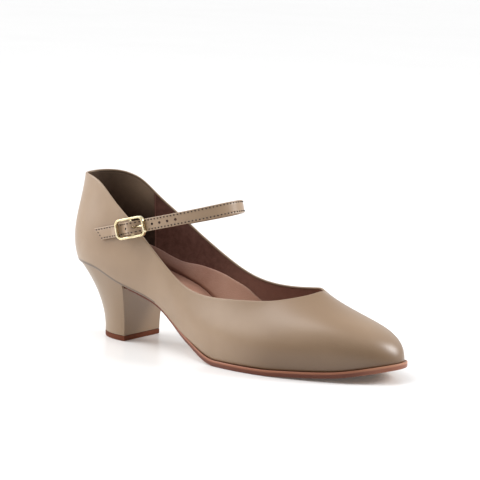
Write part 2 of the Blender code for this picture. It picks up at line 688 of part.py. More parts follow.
def add_buckle_loop(material):
    """The leather loop that holds the centre bar, slotted for the prong."""
    bend = CENTRE_BAR / 2 + LOOP_THICKNESS / 2 + GAP
    low = GAP + LOOP_THICKNESS / 2
    angle = np.radians(np.linspace(-70, 110, 8))
    turn = [(bend * np.cos(a), CENTRE_BAR_HEIGHT + bend * np.sin(a)) for a in angle]
    path = [(-LOOP_LENGTH, low), (-LOOP_LENGTH / 2, low), (-bend / 2, low), *turn]
    path.append((-2 * bend, CENTRE_BAR_HEIGHT + LOOP_LIFT * bend))
    points = [buckle_point(along, 0.0, height) for along, height in path]
    w, d = LOOP_WIDTH / 2, LOOP_THICKNESS / 2
    strip = sweep(points, ACROSS, np.array([(d, w), (-d, w), (-d, -w), (d, -w)]))
    loop = add_solid("buckle_loop", [(strip, True)], material, [strip[0], strip[-1]])
    reach = bend + PRONG + 2 * GAP
    half = PRONG / 2 + GAP
    outline = [(-reach, -half), (reach, -half), (reach, half), (-reach, half)]
    rows = [
        [buckle_point(along, across, height) for along, across in outline]
        for height in (-GAP, 2 * CENTRE_BAR_HEIGHT)
    ]
    cut_or_join(loop, add_solid("prong_slot", [(np.array(rows), True)], material, rows), "DIFFERENCE")
    return loop


def build():
    for item in list(bpy.data.objects):
        bpy.data.objects.remove(item, do_unlink=True)
    leather = new_material("tan_leather", (0.33, 0.24, 0.16), 0.42)
    footbed = new_material("footbed_leather", (0.30, 0.17, 0.12), 0.55)
    sole = new_material("sole_leather", (0.27, 0.10, 0.05), 0.50)
    brass = new_material("pale_brass", (0.78, 0.66, 0.42), 0.25, 1.0)
    add_upper(leather)
    add_outsole(sole)
    add_insole(footbed)
    cut_or_join(add_heel(leather), add_seat_cutter(sole), "DIFFERENCE")
    add_top_lift(sole)
    cut_or_join(add_strap(leather), add_hole_cutter(leather), "DIFFERENCE")
    add_buckle_frame(brass)
    add_buckle_prong(brass)
    add_buckle_loop(leather)


build()
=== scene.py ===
from collections import namedtuple

import bmesh
import bpy
import numpy as np
from mathutils import Matrix


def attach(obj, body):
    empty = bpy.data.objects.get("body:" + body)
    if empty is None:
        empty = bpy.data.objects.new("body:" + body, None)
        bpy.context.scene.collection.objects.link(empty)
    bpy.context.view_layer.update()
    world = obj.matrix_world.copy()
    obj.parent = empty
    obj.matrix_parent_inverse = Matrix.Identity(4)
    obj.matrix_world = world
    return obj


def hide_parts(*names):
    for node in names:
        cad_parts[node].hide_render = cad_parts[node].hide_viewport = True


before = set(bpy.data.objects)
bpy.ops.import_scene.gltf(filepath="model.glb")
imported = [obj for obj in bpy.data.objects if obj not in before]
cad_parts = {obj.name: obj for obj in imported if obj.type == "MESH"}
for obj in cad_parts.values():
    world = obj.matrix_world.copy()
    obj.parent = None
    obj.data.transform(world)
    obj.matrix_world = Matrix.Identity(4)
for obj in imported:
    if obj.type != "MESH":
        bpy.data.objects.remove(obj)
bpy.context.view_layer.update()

# The last. A leather shoe is pulled over a form of the foot and takes its shape, so every leather
# piece below is worked out from one ring of sections round the feather line, where upper and sole
# meet. Lengths are in metres, with the toe to +X, the outer side to -Y and the floor at 0.
LENGTH = 0.243
BALL_WIDTH = 0.0750
WAIST_WIDTH = 0.0497
SEAT_WIDTH = 0.0516
HEEL_RISE = 0.0350
TOE_SPRING = 0.0079
THROAT_HEIGHT = 0.0450
INSTEP_HEIGHT = 0.0340
BACK_HEIGHT = 0.0567
HEEL_POINT = -0.0352  # the back of the feather line, along X
SOLE_THICKNESS = 0.0034
SHANK_THICKNESS = 0.0022
SHANK_END = (0.38, 0.53)  # shares of LENGTH where the sole thickens to the forepart
GAP = 0.0003  # between pieces that meet
NEAR = 0.001  # step in sections or shares for a slope
UP = np.array([0.0, 0.0, 1.0])
EASE = 0.45  # sections between the marks by which the collar's edge is evened out
EASE_IN = (1.2, 2.2)  # sections from the back over which that comes in, and goes out again
EASE_OUT = (7.2, 6.0)

# Each section's place on the feather line and on the topline, in shares of LENGTH from the heel and
# of its own width and height. lean and arrive are the wall's angles at its foot and its head, pull
# and hold how long it keeps to them, and welt is the sole's overhang in shares of WELT.
Section = namedtuple(
    "Section", "width height edge_x edge_y top_x top_y rise lean pull arrive hold welt"
)
SECTIONS = [Section(*row) for row in [
    (BALL_WIDTH, THROAT_HEIGHT, 1.000, 0.057, 0.759, 0.057, 0.98, 94, 0.30, 31, 0.45, 1.0),
    (BALL_WIDTH, THROAT_HEIGHT, 0.962, -0.172, 0.751, -0.076, 0.96, 84, 0.34, 29, 0.45, 1.0),
    (BALL_WIDTH, THROAT_HEIGHT, 0.870, -0.355, 0.709, -0.239, 0.91, 78, 0.40, 38, 0.42, 1.0),
    (BALL_WIDTH, THROAT_HEIGHT, 0.755, -0.483, 0.649, -0.363, 0.87, 75, 0.42, 55, 0.42, 1.0),
    (BALL_WIDTH, INSTEP_HEIGHT, 0.630, -0.526, 0.558, -0.430, 1.13, 75, 0.40, 66, 0.40, 1.0),
    (BALL_WIDTH, INSTEP_HEIGHT, 0.490, -0.465, 0.457, -0.437, 0.94, 72, 0.38, 76, 0.38, 0.5),
    (WAIST_WIDTH, INSTEP_HEIGHT, 0.340, -0.558, 0.358, -0.608, 0.94, 70, 0.38, 84, 0.36, -0.8),
    (SEAT_WIDTH, BACK_HEIGHT, 0.180, -0.506, 0.231, -0.523, 0.79, 69, 0.38, 89, 0.36, -2.2),
    (SEAT_WIDTH, BACK_HEIGHT, 0.055, -0.386, 0.090, -0.363, 1.00, 70, 0.38, 87, 0.36, -2.8),
    (SEAT_WIDTH, BACK_HEIGHT, 0.000, 0.000, 0.006, -0.003, 1.00, 68, 0.38, 84, 0.36, -2.8),
    (SEAT_WIDTH, BACK_HEIGHT, 0.055, 0.399, 0.076, 0.392, 1.00, 69, 0.38, 85, 0.36, -2.8),
    (SEAT_WIDTH, BACK_HEIGHT, 0.180, 0.494, 0.214, 0.534, 0.75, 68, 0.38, 88, 0.36, -2.2),
    (WAIST_WIDTH, INSTEP_HEIGHT, 0.340, 0.442, 0.358, 0.557, 1.02, 62, 0.40, 84, 0.36, -0.6),
    (BALL_WIDTH, INSTEP_HEIGHT, 0.490, 0.306, 0.468, 0.366, 1.09, 62, 0.42, 76, 0.38, 0.3),
    (BALL_WIDTH, INSTEP_HEIGHT, 0.630, 0.413, 0.561, 0.379, 1.17, 70, 0.42, 66, 0.40, 1.0),
    (BALL_WIDTH, THROAT_HEIGHT, 0.750, 0.474, 0.651, 0.359, 0.91, 75, 0.42, 56, 0.42, 1.0),
    (BALL_WIDTH, THROAT_HEIGHT, 0.870, 0.417, 0.709, 0.282, 0.96, 78, 0.40, 43, 0.42, 1.0),
    (BALL_WIDTH, THROAT_HEIGHT, 0.965, 0.262, 0.746, 0.172, 0.94, 83, 0.34, 38, 0.45, 1.0),
]]
BACK = 9  # the section at the heel point
OUTER_QUARTER = (BACK - 4, BACK)
INNER_QUARTER = (BACK, BACK + 4)

BOTTOM = [
    # share of LENGTH from the heel, share of HEEL_RISE, share of TOE_SPRING
    (0.00, 1.26, 0.00),
    (0.10, 1.22, 0.00),
    (0.20, 1.00, 0.00),
    (0.32, 0.78, 0.00),
    (0.45, 0.27, 0.00),
    (0.56, 0.00, 0.00),
    (0.63, 0.00, 0.00),
    (0.70, 0.00, 0.00),
    (0.78, 0.00, 0.12),
    (0.88, 0.00, 0.32),
    (1.00, 0.00, 1.00),
]


def blend(first, last, share):
    """first at share 0, last at share 1, and a straight mix between them."""
    return first * (1 - share) + last * share


def smooth(value, start, end):
    """0 up to start, 1 from end on, and the cubic 3s^2 - 2s^3 of the share s between them."""
    share = np.clip((value - start) / (end - start), 0.0, 1.0)
    return share * share * (3.0 - 2.0 * share)


def hermite(f, start, leave, end, arrive):
    """The cubic from start to end as f goes from 0 to 1, with the slopes leave and arrive there."""
    return (
        (2 * f**3 - 3 * f**2 + 1) * start
        + (f**3 - 2 * f**2 + f) * leave
        + (3 * f**2 - 2 * f**3) * end
        + (f**3 - f**2) * arrive
    )


def bezier(s, start, low, high, end):
    """The cubic Bezier curve from start to end, drawn toward low and then toward high."""
    return (1 - s) ** 3 * start + 3 * (1 - s) ** 2 * s * low + 3 * (1 - s) * s**2 * high + s**3 * end


def monotone_curve(x, knots, values):
    """A cubic through the knots that never overshoots them, straight past both ends."""
    step = np.diff(knots)
    slope = np.diff(values) / step
    near, far = 2 * step[1:] + step[:-1], step[1:] + 2 * step[:-1]
    before, after = slope[:-1], slope[1:]
    same_way = before * after > 0.0
    safe_before, safe_after = np.where(same_way, before, 1.0), np.where(same_way, after, 1.0)
    inner = np.where(same_way, (near + far) / (near / safe_before + far / safe_after), 0.0)
    tangent = np.concatenate([slope[:1], inner, slope[-1:]])
    x = np.asarray(x, float)
    inside = np.clip(x, knots[0], knots[-1])
    i = np.clip(np.searchsorted(knots, inside, side="right") - 1, 0, len(knots) - 2)
    f = (inside - knots[i]) / step[i]
    curve = hermite(f, values[i], step[i] * tangent[i], values[i + 1], step[i] * tangent[i + 1])
    return curve + (x - inside) * np.where(x > inside, tangent[-1], tangent[0])


def ring_curve(rows, t):
    """A closed cubic spline through rows that lie at t = 0, 1, 2 and so on, and joins its ends."""
    rows = np.asarray(rows, float)
    count = len(rows)
    band = 4 * np.eye(count) + np.roll(np.eye(count), 1, 1) + np.roll(np.eye(count), -1, 1)
    slope = np.linalg.solve(band, 3 * (np.roll(rows, -1, 0) - np.roll(rows, 1, 0)))
    t = np.asarray(t, float) % count
    i = np.floor(t).astype(int)
    j = (i + 1) % count
    return hermite((t - i)[:, None], rows[i], slope[i], rows[j], slope[j])


def unit(vectors):
    """Vectors over their own lengths."""
    return vectors / np.linalg.norm(vectors, axis=-1, keepdims=True)


def sole_top(x):
    """Height of the outsole's upper face at x: the long profile of the sole."""
    forward, heel, spring = np.array(BOTTOM).T
    heights = heel * HEEL_RISE + spring * TOE_SPRING
    return SOLE_THICKNESS + monotone_curve((x - HEEL_POINT) / LENGTH, forward, heights)


def sole_bottom(x):
    """The upper face less the sole's thickness, which grows from the waist to the forepart."""
    forward = (x - HEEL_POINT) / LENGTH
    return sole_top(x) - blend(SHANK_THICKNESS, SOLE_THICKNESS, smooth(forward, *SHANK_END))


def feather_line(t):
    """x and y of the feather line, t sections on from the toe by way of the outer side."""
    return ring_curve([(HEEL_POINT + s.edge_x * LENGTH, s.edge_y * s.width) for s in SECTIONS], t)


def inward(t):
    """Level directions square to the feather line, into the shoe."""
    tangent = feather_line(t + NEAR) - feather_line(t - NEAR)
    return unit(np.stack([tangent[:, 1], -tangent[:, 0], np.zeros(len(t))], 1))


def collar_marks(t):
    """The collar's edge as marked out: a ring curve, its height taken over the sole below it."""
    rows = [(HEEL_POINT + s.top_x * LENGTH, s.top_y * s.width, s.rise * s.height) for s in SECTIONS]
    points = ring_curve(rows, t)
    points[:, 2] += sole_top(points[:, 0])
    return points


def topline(t):
    """The collar's edge as cut: the marks, evened out along the sides.

    There it is a weighted mean of the marks before and behind. The outermost weights are negative,
    so that the mean keeps the curve's own bend and loses only its unevenness.
    """
    points = collar_marks(t)
    around = [collar_marks(t + EASE * step) for step in range(-4, 5)]
    eased = np.average(around, axis=0, weights=(-1, -4, 8, 20, 35, 20, 8, -4, -1))
    away = np.abs(np.asarray(t) % len(SECTIONS) - BACK)
    return blend(points, eased, (smooth(away, *EASE_IN) * smooth(away, *EASE_OUT))[:, None])


def upper_face(t, h):
    """Outer face of the upper, rows of h and columns of t.

    A cubic Bezier curve runs up each column from the feather line at h = 0 to the topline at h = 1,
    and leaves and arrives at that column's own angles.
    """
    side = inward(t)
    foot = np.column_stack([feather_line(t), np.zeros(len(t))])
    foot[:, 2] = sole_top(foot[:, 0]) + GAP
    head = topline(t)
    shape = ring_curve([(s.lean, s.pull, s.arrive, s.hold) for s in SECTIONS], t)
    lean, pull, arrive, hold = shape.T[:, :, None]
    span = np.linalg.norm(head - foot, axis=1, keepdims=True)
    lean, arrive = np.radians(lean), np.radians(arrive)
    low = foot + pull * span * (UP * np.sin(lean) - side * np.cos(lean))
    high = head - hold * span * (UP * np.sin(arrive) + side * np.cos(arrive))
    return bezier(np.atleast_2d(h)[..., None], foot, low, high, head)


def outward(t, h):
    """Directions square to the upper's outer face: the cross of its slopes upward and around."""
    h = np.atleast_2d(h)
    around = upper_face(t + NEAR, h) - upper_face(t - NEAR, h)
    upward = upper_face(t, np.minimum(h + NEAR, 1.0)) - upper_face(t, h - NEAR)
    return unit(np.cross(upward, around))


STATIONS = 40  # for each section
T = np.arange(0, len(SECTIONS), 1 / STATIONS)
CLIMB = np.linalg.norm(upper_face(T, 1.0) - upper_face(T, 1.0 - NEAR), axis=2)[0] / NEAR


def ring(inset, height):
    """The feather line moved in by inset, at a height over the outsole's upper face."""
    points = np.column_stack([feather_line(T), np.zeros(len(T))])
    points += np.reshape(inset, (-1, 1)) * inward(T)
    points[:, 2] = sole_top(points[:, 0]) + height
    return points


# The outer leather. Smooth satin calf in tan, lasted while damp, so it has no folds of its own. Its
# top edge is skived, turned over the lining and hammered flat, and its bottom margin is drawn in
# under the insole and cemented there.
UPPER_WALL = 0.0020
LEATHER = 0.0012
EDGE_WALL = 0.0015  # the wall's thickness at the topline, where the leather is skived
THINNING = 0.0120  # depth over which it grows to the full wall
LASTING_MARGIN = 0.0090  # drawn in under the insole
HEEL_LINE = 0.045  # painted shade goes into the crease over the heel back from here
CREASE_ROWS = slice(1, 9)  # its rows: round the feather line and on to the wall
FEATHER_ROUND = 0.0008
ROLL = EDGE_WALL / 2  # radius of the turned edge
FOLD = 0.0012  # depth of the turned edge inside the shoe


def below(distance):
    """The share of the way up at which the wall is that far below its topline, for each station."""
    return 1.0 - np.reshape(distance, (-1, 1)) / CLIMB


def wall(h, inset):
    """Rows of the upper's wall at shares h of the way up, inset square to its outer face."""
    return upper_face(T, h) - np.reshape(inset, (-1, 1, 1)) * outward(T, h)


def closed(rows):
    """A ring's rows with the first column put again at the end."""
    rows = np.asarray(rows)
    return np.concatenate([rows, rows[:, :1]], 1)


def grid_mesh(name, grids, marks=None):
    """One closed mesh from grids of points, welded where their edges meet, with faces outward.

    marks are values at the points, a list of grids for each name, that the finish reads.
    """
    count, faces = 0, []
    for grid in grids:
        rows, columns = grid.shape[:2]
        index = np.arange(rows * columns).reshape(rows, columns) + count
        corners = (index[:-1, :-1], index[:-1, 1:], index[1:, 1:], index[1:, :-1])
        faces.append(np.stack(corners, -1).reshape(-1, 4))
        count += rows * columns
    mesh = bpy.data.meshes.new(name)
    points = np.concatenate([grid.reshape(-1, 3) for grid in grids])
    mesh.from_pydata(points.tolist(), [], np.concatenate(faces).tolist())
    for mark, values in (marks or {}).items():
        layer = mesh.attributes.new(mark, "FLOAT", "POINT")
        layer.data.foreach_set("value", np.concatenate([np.ravel(v) for v in values]).astype(np.float32))
    shape = bmesh.new()
    shape.from_mesh(mesh)
    bmesh.ops.remove_doubles(shape, verts=shape.verts, dist=1e-6)
    bmesh.ops.dissolve_degenerate(shape, edges=shape.edges, dist=1e-6)
    bmesh.ops.recalc_face_normals(shape, faces=shape.faces)
    shape.to_mesh(mesh)
    shape.free()
    return mesh


def add_piece(name, grids, finish, stands_for, sharp, marks=None):
    """A piece of the shoe, smooth but for edges sharper than sharp, in degrees."""
    mesh = grid_mesh(name, grids, marks)
    mesh.shade_smooth()
    mesh.set_sharp_from_angle(angle=np.radians(sharp))
    mesh.materials.append(finish)
    item = bpy.data.objects.new(name, mesh)
    bpy.context.scene.collection.objects.link(item)
    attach(item, "root")
    if stands_for:
        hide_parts(*stands_for)
    return item


class Value:
    """A socket in a tree of nodes. Arithmetic on it adds Math nodes."""

    def __init__(self, nodes, socket):
        self.nodes = nodes
        self.socket = socket

    def maths(self, operation, *terms):
        return self.nodes.node("ShaderNodeMath", {"operation": operation}, dict(enumerate(terms)))

    def __add__(self, other):
        return self.maths("ADD", self, other)

    def __sub__(self, other):
        return self.maths("SUBTRACT", self, other)

    def __rsub__(self, other):
        return self.maths("SUBTRACT", other, self)

    def __mul__(self, other):
        return self.maths("MULTIPLY", self, other)

    __radd__ = __add__
    __rmul__ = __mul__

    def between(self, start, end):
        """0 at start and 1 at end, in an even S."""
        sockets = {"Value": self, "From Min": start, "From Max": end}
        return self.nodes.node("ShaderNodeMapRange", {"interpolation_type": "SMOOTHSTEP"}, sockets)


class Nodes:
    """A tree of nodes."""

    def __init__(self, tree):
        self.tree = tree

    def node(self, kind, settings=None, sockets=None, output=0):
        """One node: its settings first, then the values or links of its sockets."""
        node = self.tree.nodes.new(kind)
        for setting, value in (settings or {}).items():
            setattr(node, setting, value)
        for key, value in (sockets or {}).items():
            if isinstance(value, Value):
                self.tree.links.new(value.socket, node.inputs[key])
            else:
                node.inputs[key].default_value = value
        return Value(self, node.outputs[output])


class Finish(Nodes):
    """A surface finish: a Principled shader and the nodes that feed it."""

    def __init__(self, name, **constants):
        self.material = bpy.data.materials.new(name)
        self.material.use_nodes = True
        super().__init__(self.material.node_tree)
        self.shader = self.tree.nodes["Principled BSDF"]
        for socket, value in constants.items():
            self.shader.inputs[socket.replace("_", " ")].default_value = value
        self.place = self.node("ShaderNodeTexCoord", output="Object")

    def noise(self, scale, detail=2.0, roughness=0.5, place=None):
        sockets = {"Vector": place or self.place, "Scale": scale, "Detail": detail, "Roughness": roughness}
        return self.node("ShaderNodeTexNoise", None, sockets)

    def layers(self, level, upright):
        """Noise drawn out into level layers."""
        sockets = {"Vector": self.place, "Scale": (level, level, upright)}
        return self.noise(1.0, 3.0, 0.6, self.node("ShaderNodeMapping", None, sockets))

    def pores(self, scale):
        """Distance to the nearest pore."""
        return self.node("ShaderNodeTexVoronoi", None, {"Vector": self.place, "Scale": scale})

    def mark(self, name):
        return self.node("ShaderNodeAttribute", {"attribute_name": name}, output="Fac")

    def ramp(self, axis, start, end):
        """0 at start and 1 at end along an axis."""
        return self.node("ShaderNodeSeparateXYZ", None, {0: self.place}, output=axis).between(start, end)

    def mix(self, share, first, second):
        """A colour between two."""
        sockets = {0: share, 6: first, 7: second}
        return self.node("ShaderNodeMix", {"data_type": "RGBA"}, sockets, output=2)

    def bump(self, height, distance):
        return self.node("ShaderNodeBump", None, {"Height": height, "Distance": distance})

    def feed(self, **sockets):
        for socket, value in sockets.items():
            self.tree.links.new(value.socket, self.shader.inputs[socket.replace("_", " ")])


def colour(red, green, blue):
    """A colour with nothing seen through it."""
    return (red, green, blue, 1.0)


def tan_leather(name, crease_shade=0.0, tint=None, share=0.0):
    """Satin calf: faint clouds in the dye and a fine grain, with painted shade over the top of the vamp
    and a darker painted shade low down on the forepart.

    The argument and mark for the creases set the strength of the painted shade there. A share of
    tint goes over the whole.
    """
    leather = Finish(name, Specular_IOR_Level=0.42, Coat_Roughness=0.34)
    clouds = leather.noise(38.0, 3.0, 0.55)
    grain = leather.pores(2100.0) * 0.6 + leather.noise(1500.0, 2.0) * 0.5
    base = leather.mix(
        clouds.between(0.32, 0.70), colour(0.292, 0.194, 0.119), colour(0.324, 0.219, 0.137)
    )
    # Painted shade: darker over the top of the vamp, forward of X 0.07 to 0.15 and above Z 0.02 to 0.05.
    vamp_top_shade = leather.ramp("X", 0.07, 0.15) * leather.ramp("Z", 0.02, 0.05) * 0.8
    base = leather.mix(vamp_top_shade, base, colour(0.222, 0.134, 0.070))
    # Painted shade: darker low down on the forepart, forward of X 0.10 to 0.15 and below Z 0.008 to 0.034.
    low = leather.ramp("X", 0.10, 0.15) * (1 - leather.ramp("Z", 0.008, 0.034)) * 0.85
    base = leather.mix(low, base, colour(0.145, 0.082, 0.040))
    base = leather.mix(grain.between(0.15, 0.55) * -0.12 + 0.12, base, colour(0.20, 0.13, 0.08))
    # Painted shade in the creases, as strong as their mark.
    if crease_shade:
        base = leather.mix(leather.mark("crease_shade") * crease_shade, base, colour(0.09, 0.055, 0.032))
    if tint:
        base = leather.mix(share, base, tint)
    leather.feed(
        Base_Color=base,
        Roughness=clouds * 0.08 + grain * 0.06 + 0.33,
        Coat_Weight=0.42 - clouds * 0.10,
        Normal=leather.bump(grain + clouds * 0.5, 0.00004),
    )
    return leather.material


def upper_leather_rows():
    """The leather's closed profile at every station, as rows, and how much painted shade each takes:
    none on the outer face, more over the inner half of the turned edge, and full inside the wall.

    From the margin's edge out to the feather line, round it, up the outer face, over the topline in
    a half circle, down the turned edge, and back down inside the wall.
    """
    first, under = ring(LASTING_MARGIN, GAP), ring(FEATHER_ROUND, GAP)
    corner_top = FEATHER_ROUND / np.linalg.norm(upper_face(T, NEAR) - upper_face(T, 0.0), axis=2) * NEAR
    u = np.linspace(0, 1, 7)[1:-1, None, None]
    corner = (1 - u) ** 2 * under + 2 * (1 - u) * u * ring(0.0, GAP) + u**2 * upper_face(T, corner_top)
    outer = upper_face(T, blend(corner_top, below(ROLL), np.linspace(0, 1, 60)[:, None]))
    across = outward(T, below(ROLL))[0]
    along = unit(outer[-1] - outer[-2])
    turn = np.arange(15, 181, 15)
    angle = np.radians(turn)[:, None, None]
    roll = outer[-1] - ROLL * across + ROLL * (np.cos(angle) * across + np.sin(angle) * along)
    fold = wall(below([blend(ROLL, FOLD, 0.4), blend(ROLL, FOLD, 0.8)]), [EDGE_WALL] * 2)
    turned = wall(below([FOLD, FOLD]), [0.85 * EDGE_WALL, 0.6 * EDGE_WALL])
    back = wall(np.array([0.85, 0.7, 0.5, 0.3, 0.12])[:, None], [LEATHER] * 5)
    back[0] += (LEATHER - 0.6 * EDGE_WALL) / 2 * outward(T, 0.85)[0]
    margin = [ring(LEATHER, GAP + LEATHER), ring(LASTING_MARGIN, GAP + LEATHER)]
    parts = [
        ([first, under], 0.0),
        (corner, 0.0),
        (outer, 0.0),
        (roll, np.where(turn < 90, 0.0, 0.1 + 0.7 * (turn - 90) / 90)),
        (fold, 0.8),
        (turned, 1.0),
        (back, 1.0),
        (margin, 1.0),
        ([first], 0.0),
    ]
    crease_shade = [np.full(len(rows), depth) for rows, depth in parts]
    return np.concatenate([rows for rows, depth in parts]), np.concatenate(crease_shade)


rows, crease_shade = upper_leather_rows()
rows = closed(rows)
crease_shade = np.repeat(crease_shade[:, None], rows.shape[1], 1)
# Painted shade along the crease where the upper meets the heel, and none round the feather line in front of
# it.
crease_shade[CREASE_ROWS] = rows[CREASE_ROWS, :, 0] < HEEL_LINE
leather_finish = tan_leather("upper_leather", 0.75)
add_piece("upper_leather", [rows], leather_finish, ["upper"], 60, {"crease_shade": [crease_shade]})


# The lining. Rose-brown leather from the toe to the instep, and behind a seam on each side a heel
# grip of brown suede, nap side in, which is a little thicker. Both are stitched to the turned edge.
LINING_TOP = 0.0014  # below the topline
LINING_EDGE = (0.0007, 0.0009)  # inside the outer face, where it starts and at its top
BROW = 0.0003  # rounding of its top edge
LINING_FOOT = 0.12  # share of the way up where its faces leave the margin
GLUE = 0.0001  # between the lining and the outer leather
GRIP_STEP = 0.0003  # the heel grip stands proud of the lining
SEAM_TOP = 1.56  # sections from the back to the seam at the topline, and more of them lower down
SEAM_SLANT = 0.30


def lining_rows():
    """The lining's closed profile, and how far behind the seam each point lies, in sections."""
    h = blend(LINING_FOOT, below([LINING_TOP + BROW + GLUE])[0], np.linspace(1, 0, 64)[:, None])
    behind = SEAM_TOP + SEAM_SLANT * (1 - h) ** 1.5 - np.abs(T - BACK)
    face = blend(EDGE_WALL, UPPER_WALL, smooth((1 - h) * CLIMB, 0.0, THINNING))
    face -= GRIP_STEP * (1 - smooth(behind, -0.01, 0.02))
    inner = upper_face(T, h) - face[:, :, None] * outward(T, h)
    edge = wall(below([LINING_TOP + BROW, LINING_TOP]), LINING_EDGE)
    brow = inner[:1] + GLUE * outward(T, h[:1]) + BROW * unit(inner[:1] - inner[1:2])
    glued = LEATHER + GLUE
    margin = [
        ring(UPPER_WALL, GAP + UPPER_WALL),
        ring(LASTING_MARGIN, GAP + UPPER_WALL),
        ring(LASTING_MARGIN, GAP + glued),
        ring(glued, GAP + glued),
    ]
    outer = wall(np.array([LINING_FOOT, 0.4, 0.75])[:, None], [glued] * 3)
    rows = np.concatenate([edge, brow, inner, margin, outer, edge[:1]])
    row = np.arange(len(rows)) - len(edge) - len(brow)
    return rows, behind[np.clip(row, 0, len(behind) - 1)]


def lining_leather():
    """Suede behind the seam, with a streaky nap, and soft rose-brown leather before it."""
    lining = Finish("lining", Specular_IOR_Level=0.2)
    behind = lining.mark("behind_seam")
    grip = behind.between(-0.01, 0.01)
    nap = lining.noise(260.0, 4.0, 0.65)
    grain = lining.noise(900.0, 3.0, 0.6)
    suede = lining.mix(nap.between(0.3, 0.7), colour(0.032, 0.017, 0.011), colour(0.056, 0.031, 0.020))
    # Painted light: the heel grip lighter toward its top and toward its front.
    grip_painted_light = lining.ramp("Z", 0.068, 0.096) * (lining.ramp("X", -0.032, -0.004) * 0.75 + 0.2)
    suede = lining.mix(grip_painted_light, suede, colour(0.250, 0.175, 0.118))
    rose = lining.mix(nap.between(0.3, 0.7), colour(0.100, 0.043, 0.031), colour(0.145, 0.066, 0.050))
    # Painted light: the rose lining lighter toward the front of the shoe.
    rose = lining.mix(lining.ramp("X", 0.045, 0.090) * 0.45, rose, colour(0.42, 0.23, 0.175))
    base = lining.mix(grip, rose, suede)
    seam = behind.between(-0.035, -0.02) * (1 - behind.between(-0.012, -0.004))
    base = lining.mix(seam * 0.6, base, colour(0.26, 0.13, 0.10))
    lining.feed(
        Base_Color=base,
        Roughness=grip * 0.25 + nap * 0.1 + 0.55,
        Normal=lining.bump(grain + nap * 0.6, 0.00012),
    )
    return lining.material


rows, behind_seam = (closed(grid) for grid in lining_rows())
add_piece("lining", [rows], lining_leather(), (), 50, {"behind_seam": [behind_seam]})


# The footbed. Soft rose-tan leather over thin foam on the insole board, with a crowned pad of foam
# under the arch. It is cut a hair short of the lining and glued down over the lasting margin.
INSOLE_THICKNESS = 0.0024
ARCH_PAD = 0.0030
PAD_RISES = (0.22, 0.45)  # shares of LENGTH between which the padding rises
PAD_FALLS = (0.50, 0.74)
PAD_CROWN = 0.25  # its crown's place across the footbed, toward the inner side of 1
MARGIN_TOP = GAP + UPPER_WALL + GAP
FOOTBED = MARGIN_TOP + INSOLE_THICKNESS
FOOTBED_ROUND = 0.0006


def lid(edge, height_at, columns):
    """Strips across a ring from each outer point to the inner point across from it.

    height_at gives z from x and from the place across the strip, -1 to 1.
    """
    half = len(edge) // 2
    share = np.linspace(0, 1, columns + 1)[None, :, None]
    grid = blend(edge[: half + 1, None], np.roll(edge[::-1], 1, 0)[: half + 1, None], share)
    grid[:, 1:-1, 2] = height_at(grid[:, 1:-1, 0], 2 * share[:, 1:-1, 0] - 1)
    return grid


def inner_wall_at(rise):
    """Where the lining is rise over the sole: straight between the two rows of its face round it."""
    h = np.linspace(LINING_FOOT, 0.6, 40)[:, None]
    face = np.concatenate([[ring(UPPER_WALL, GAP + UPPER_WALL)], wall(h, [UPPER_WALL] * 40)])
    height = face[:, :, 2] - ring(0, 0)[None, :, 2]
    row = np.clip((height < rise).sum(0), 1, len(face) - 1)
    column = np.arange(len(T))
    low, high = height[row - 1, column], height[row, column]
    share = ((rise - low) / (high - low))[:, None]
    points = blend(face[row - 1, column], face[row, column], share) + GAP * inward(T)
    points[:, 2] = sole_top(points[:, 0]) + rise
    return points


def footbed_height(x, across):
    """The sole's height, the board and foam, and the arch pad's crown, which fades to all sides."""
    forward = (x - HEEL_POINT) / LENGTH
    along = smooth(forward, *PAD_RISES) * (1 - smooth(forward, *PAD_FALLS))
    leaning = 1 - ((across - PAD_CROWN) / (1 + PAD_CROWN)) ** 2
    round_edge = FOOTBED_ROUND * (1 - across**8)
    return sole_top(x) + FOOTBED - FOOTBED_ROUND + round_edge + ARCH_PAD * along * leaning * (1 - across**2)


def footbed_leather():
    """Soft lining leather with scattered pores, painted shade toward the back of the seat and a band of
    painted light across the middle.
    """
    bed = Finish("footbed", Specular_IOR_Level=0.3)
    clouds = bed.noise(60.0, 3.0, 0.6)
    grain = bed.pores(1100.0)
    fine = bed.noise(1400.0, 2.0)
    base = bed.mix(clouds.between(0.3, 0.7), colour(0.375, 0.192, 0.134), colour(0.445, 0.247, 0.178))
    base = bed.mix((1 - grain.between(0.1, 0.45)) * 0.22, base, colour(0.52, 0.33, 0.25))
    # Painted shade: the footbed darker toward the back of the seat.
    base = bed.mix((1 - bed.ramp("X", 0.018, 0.050)) * 0.6, base, colour(0.15, 0.070, 0.052))
    # Painted light: a lighter band across the footbed from X 0.045 to 0.105.
    pad_painted_light = bed.ramp("X", 0.045, 0.065) * (1 - bed.ramp("X", 0.075, 0.105)) * 0.5
    base = bed.mix(pad_painted_light, base, colour(0.74, 0.47, 0.35))
    bed.feed(
        Base_Color=base,
        Roughness=0.62 - clouds * 0.14,
        Normal=bed.bump(grain + fine * 0.5, 0.00008),
    )
    return bed.material


brim_low = inner_wall_at(FOOTBED - FOOTBED_ROUND)
sides = [
    ring(LASTING_MARGIN + GAP, GAP),
    ring(LASTING_MARGIN + GAP, MARGIN_TOP),
    ring(UPPER_WALL + 2 * GAP, MARGIN_TOP),
    brim_low,
]
grids = [
    closed(sides),
    lid(sides[0], lambda x, across: sole_top(x) + GAP, 4),
    lid(brim_low, footbed_height, 64),
]
bed_finish = footbed_leather()
footbed = add_piece("footbed", grids, bed_finish, ["insole"], 60)


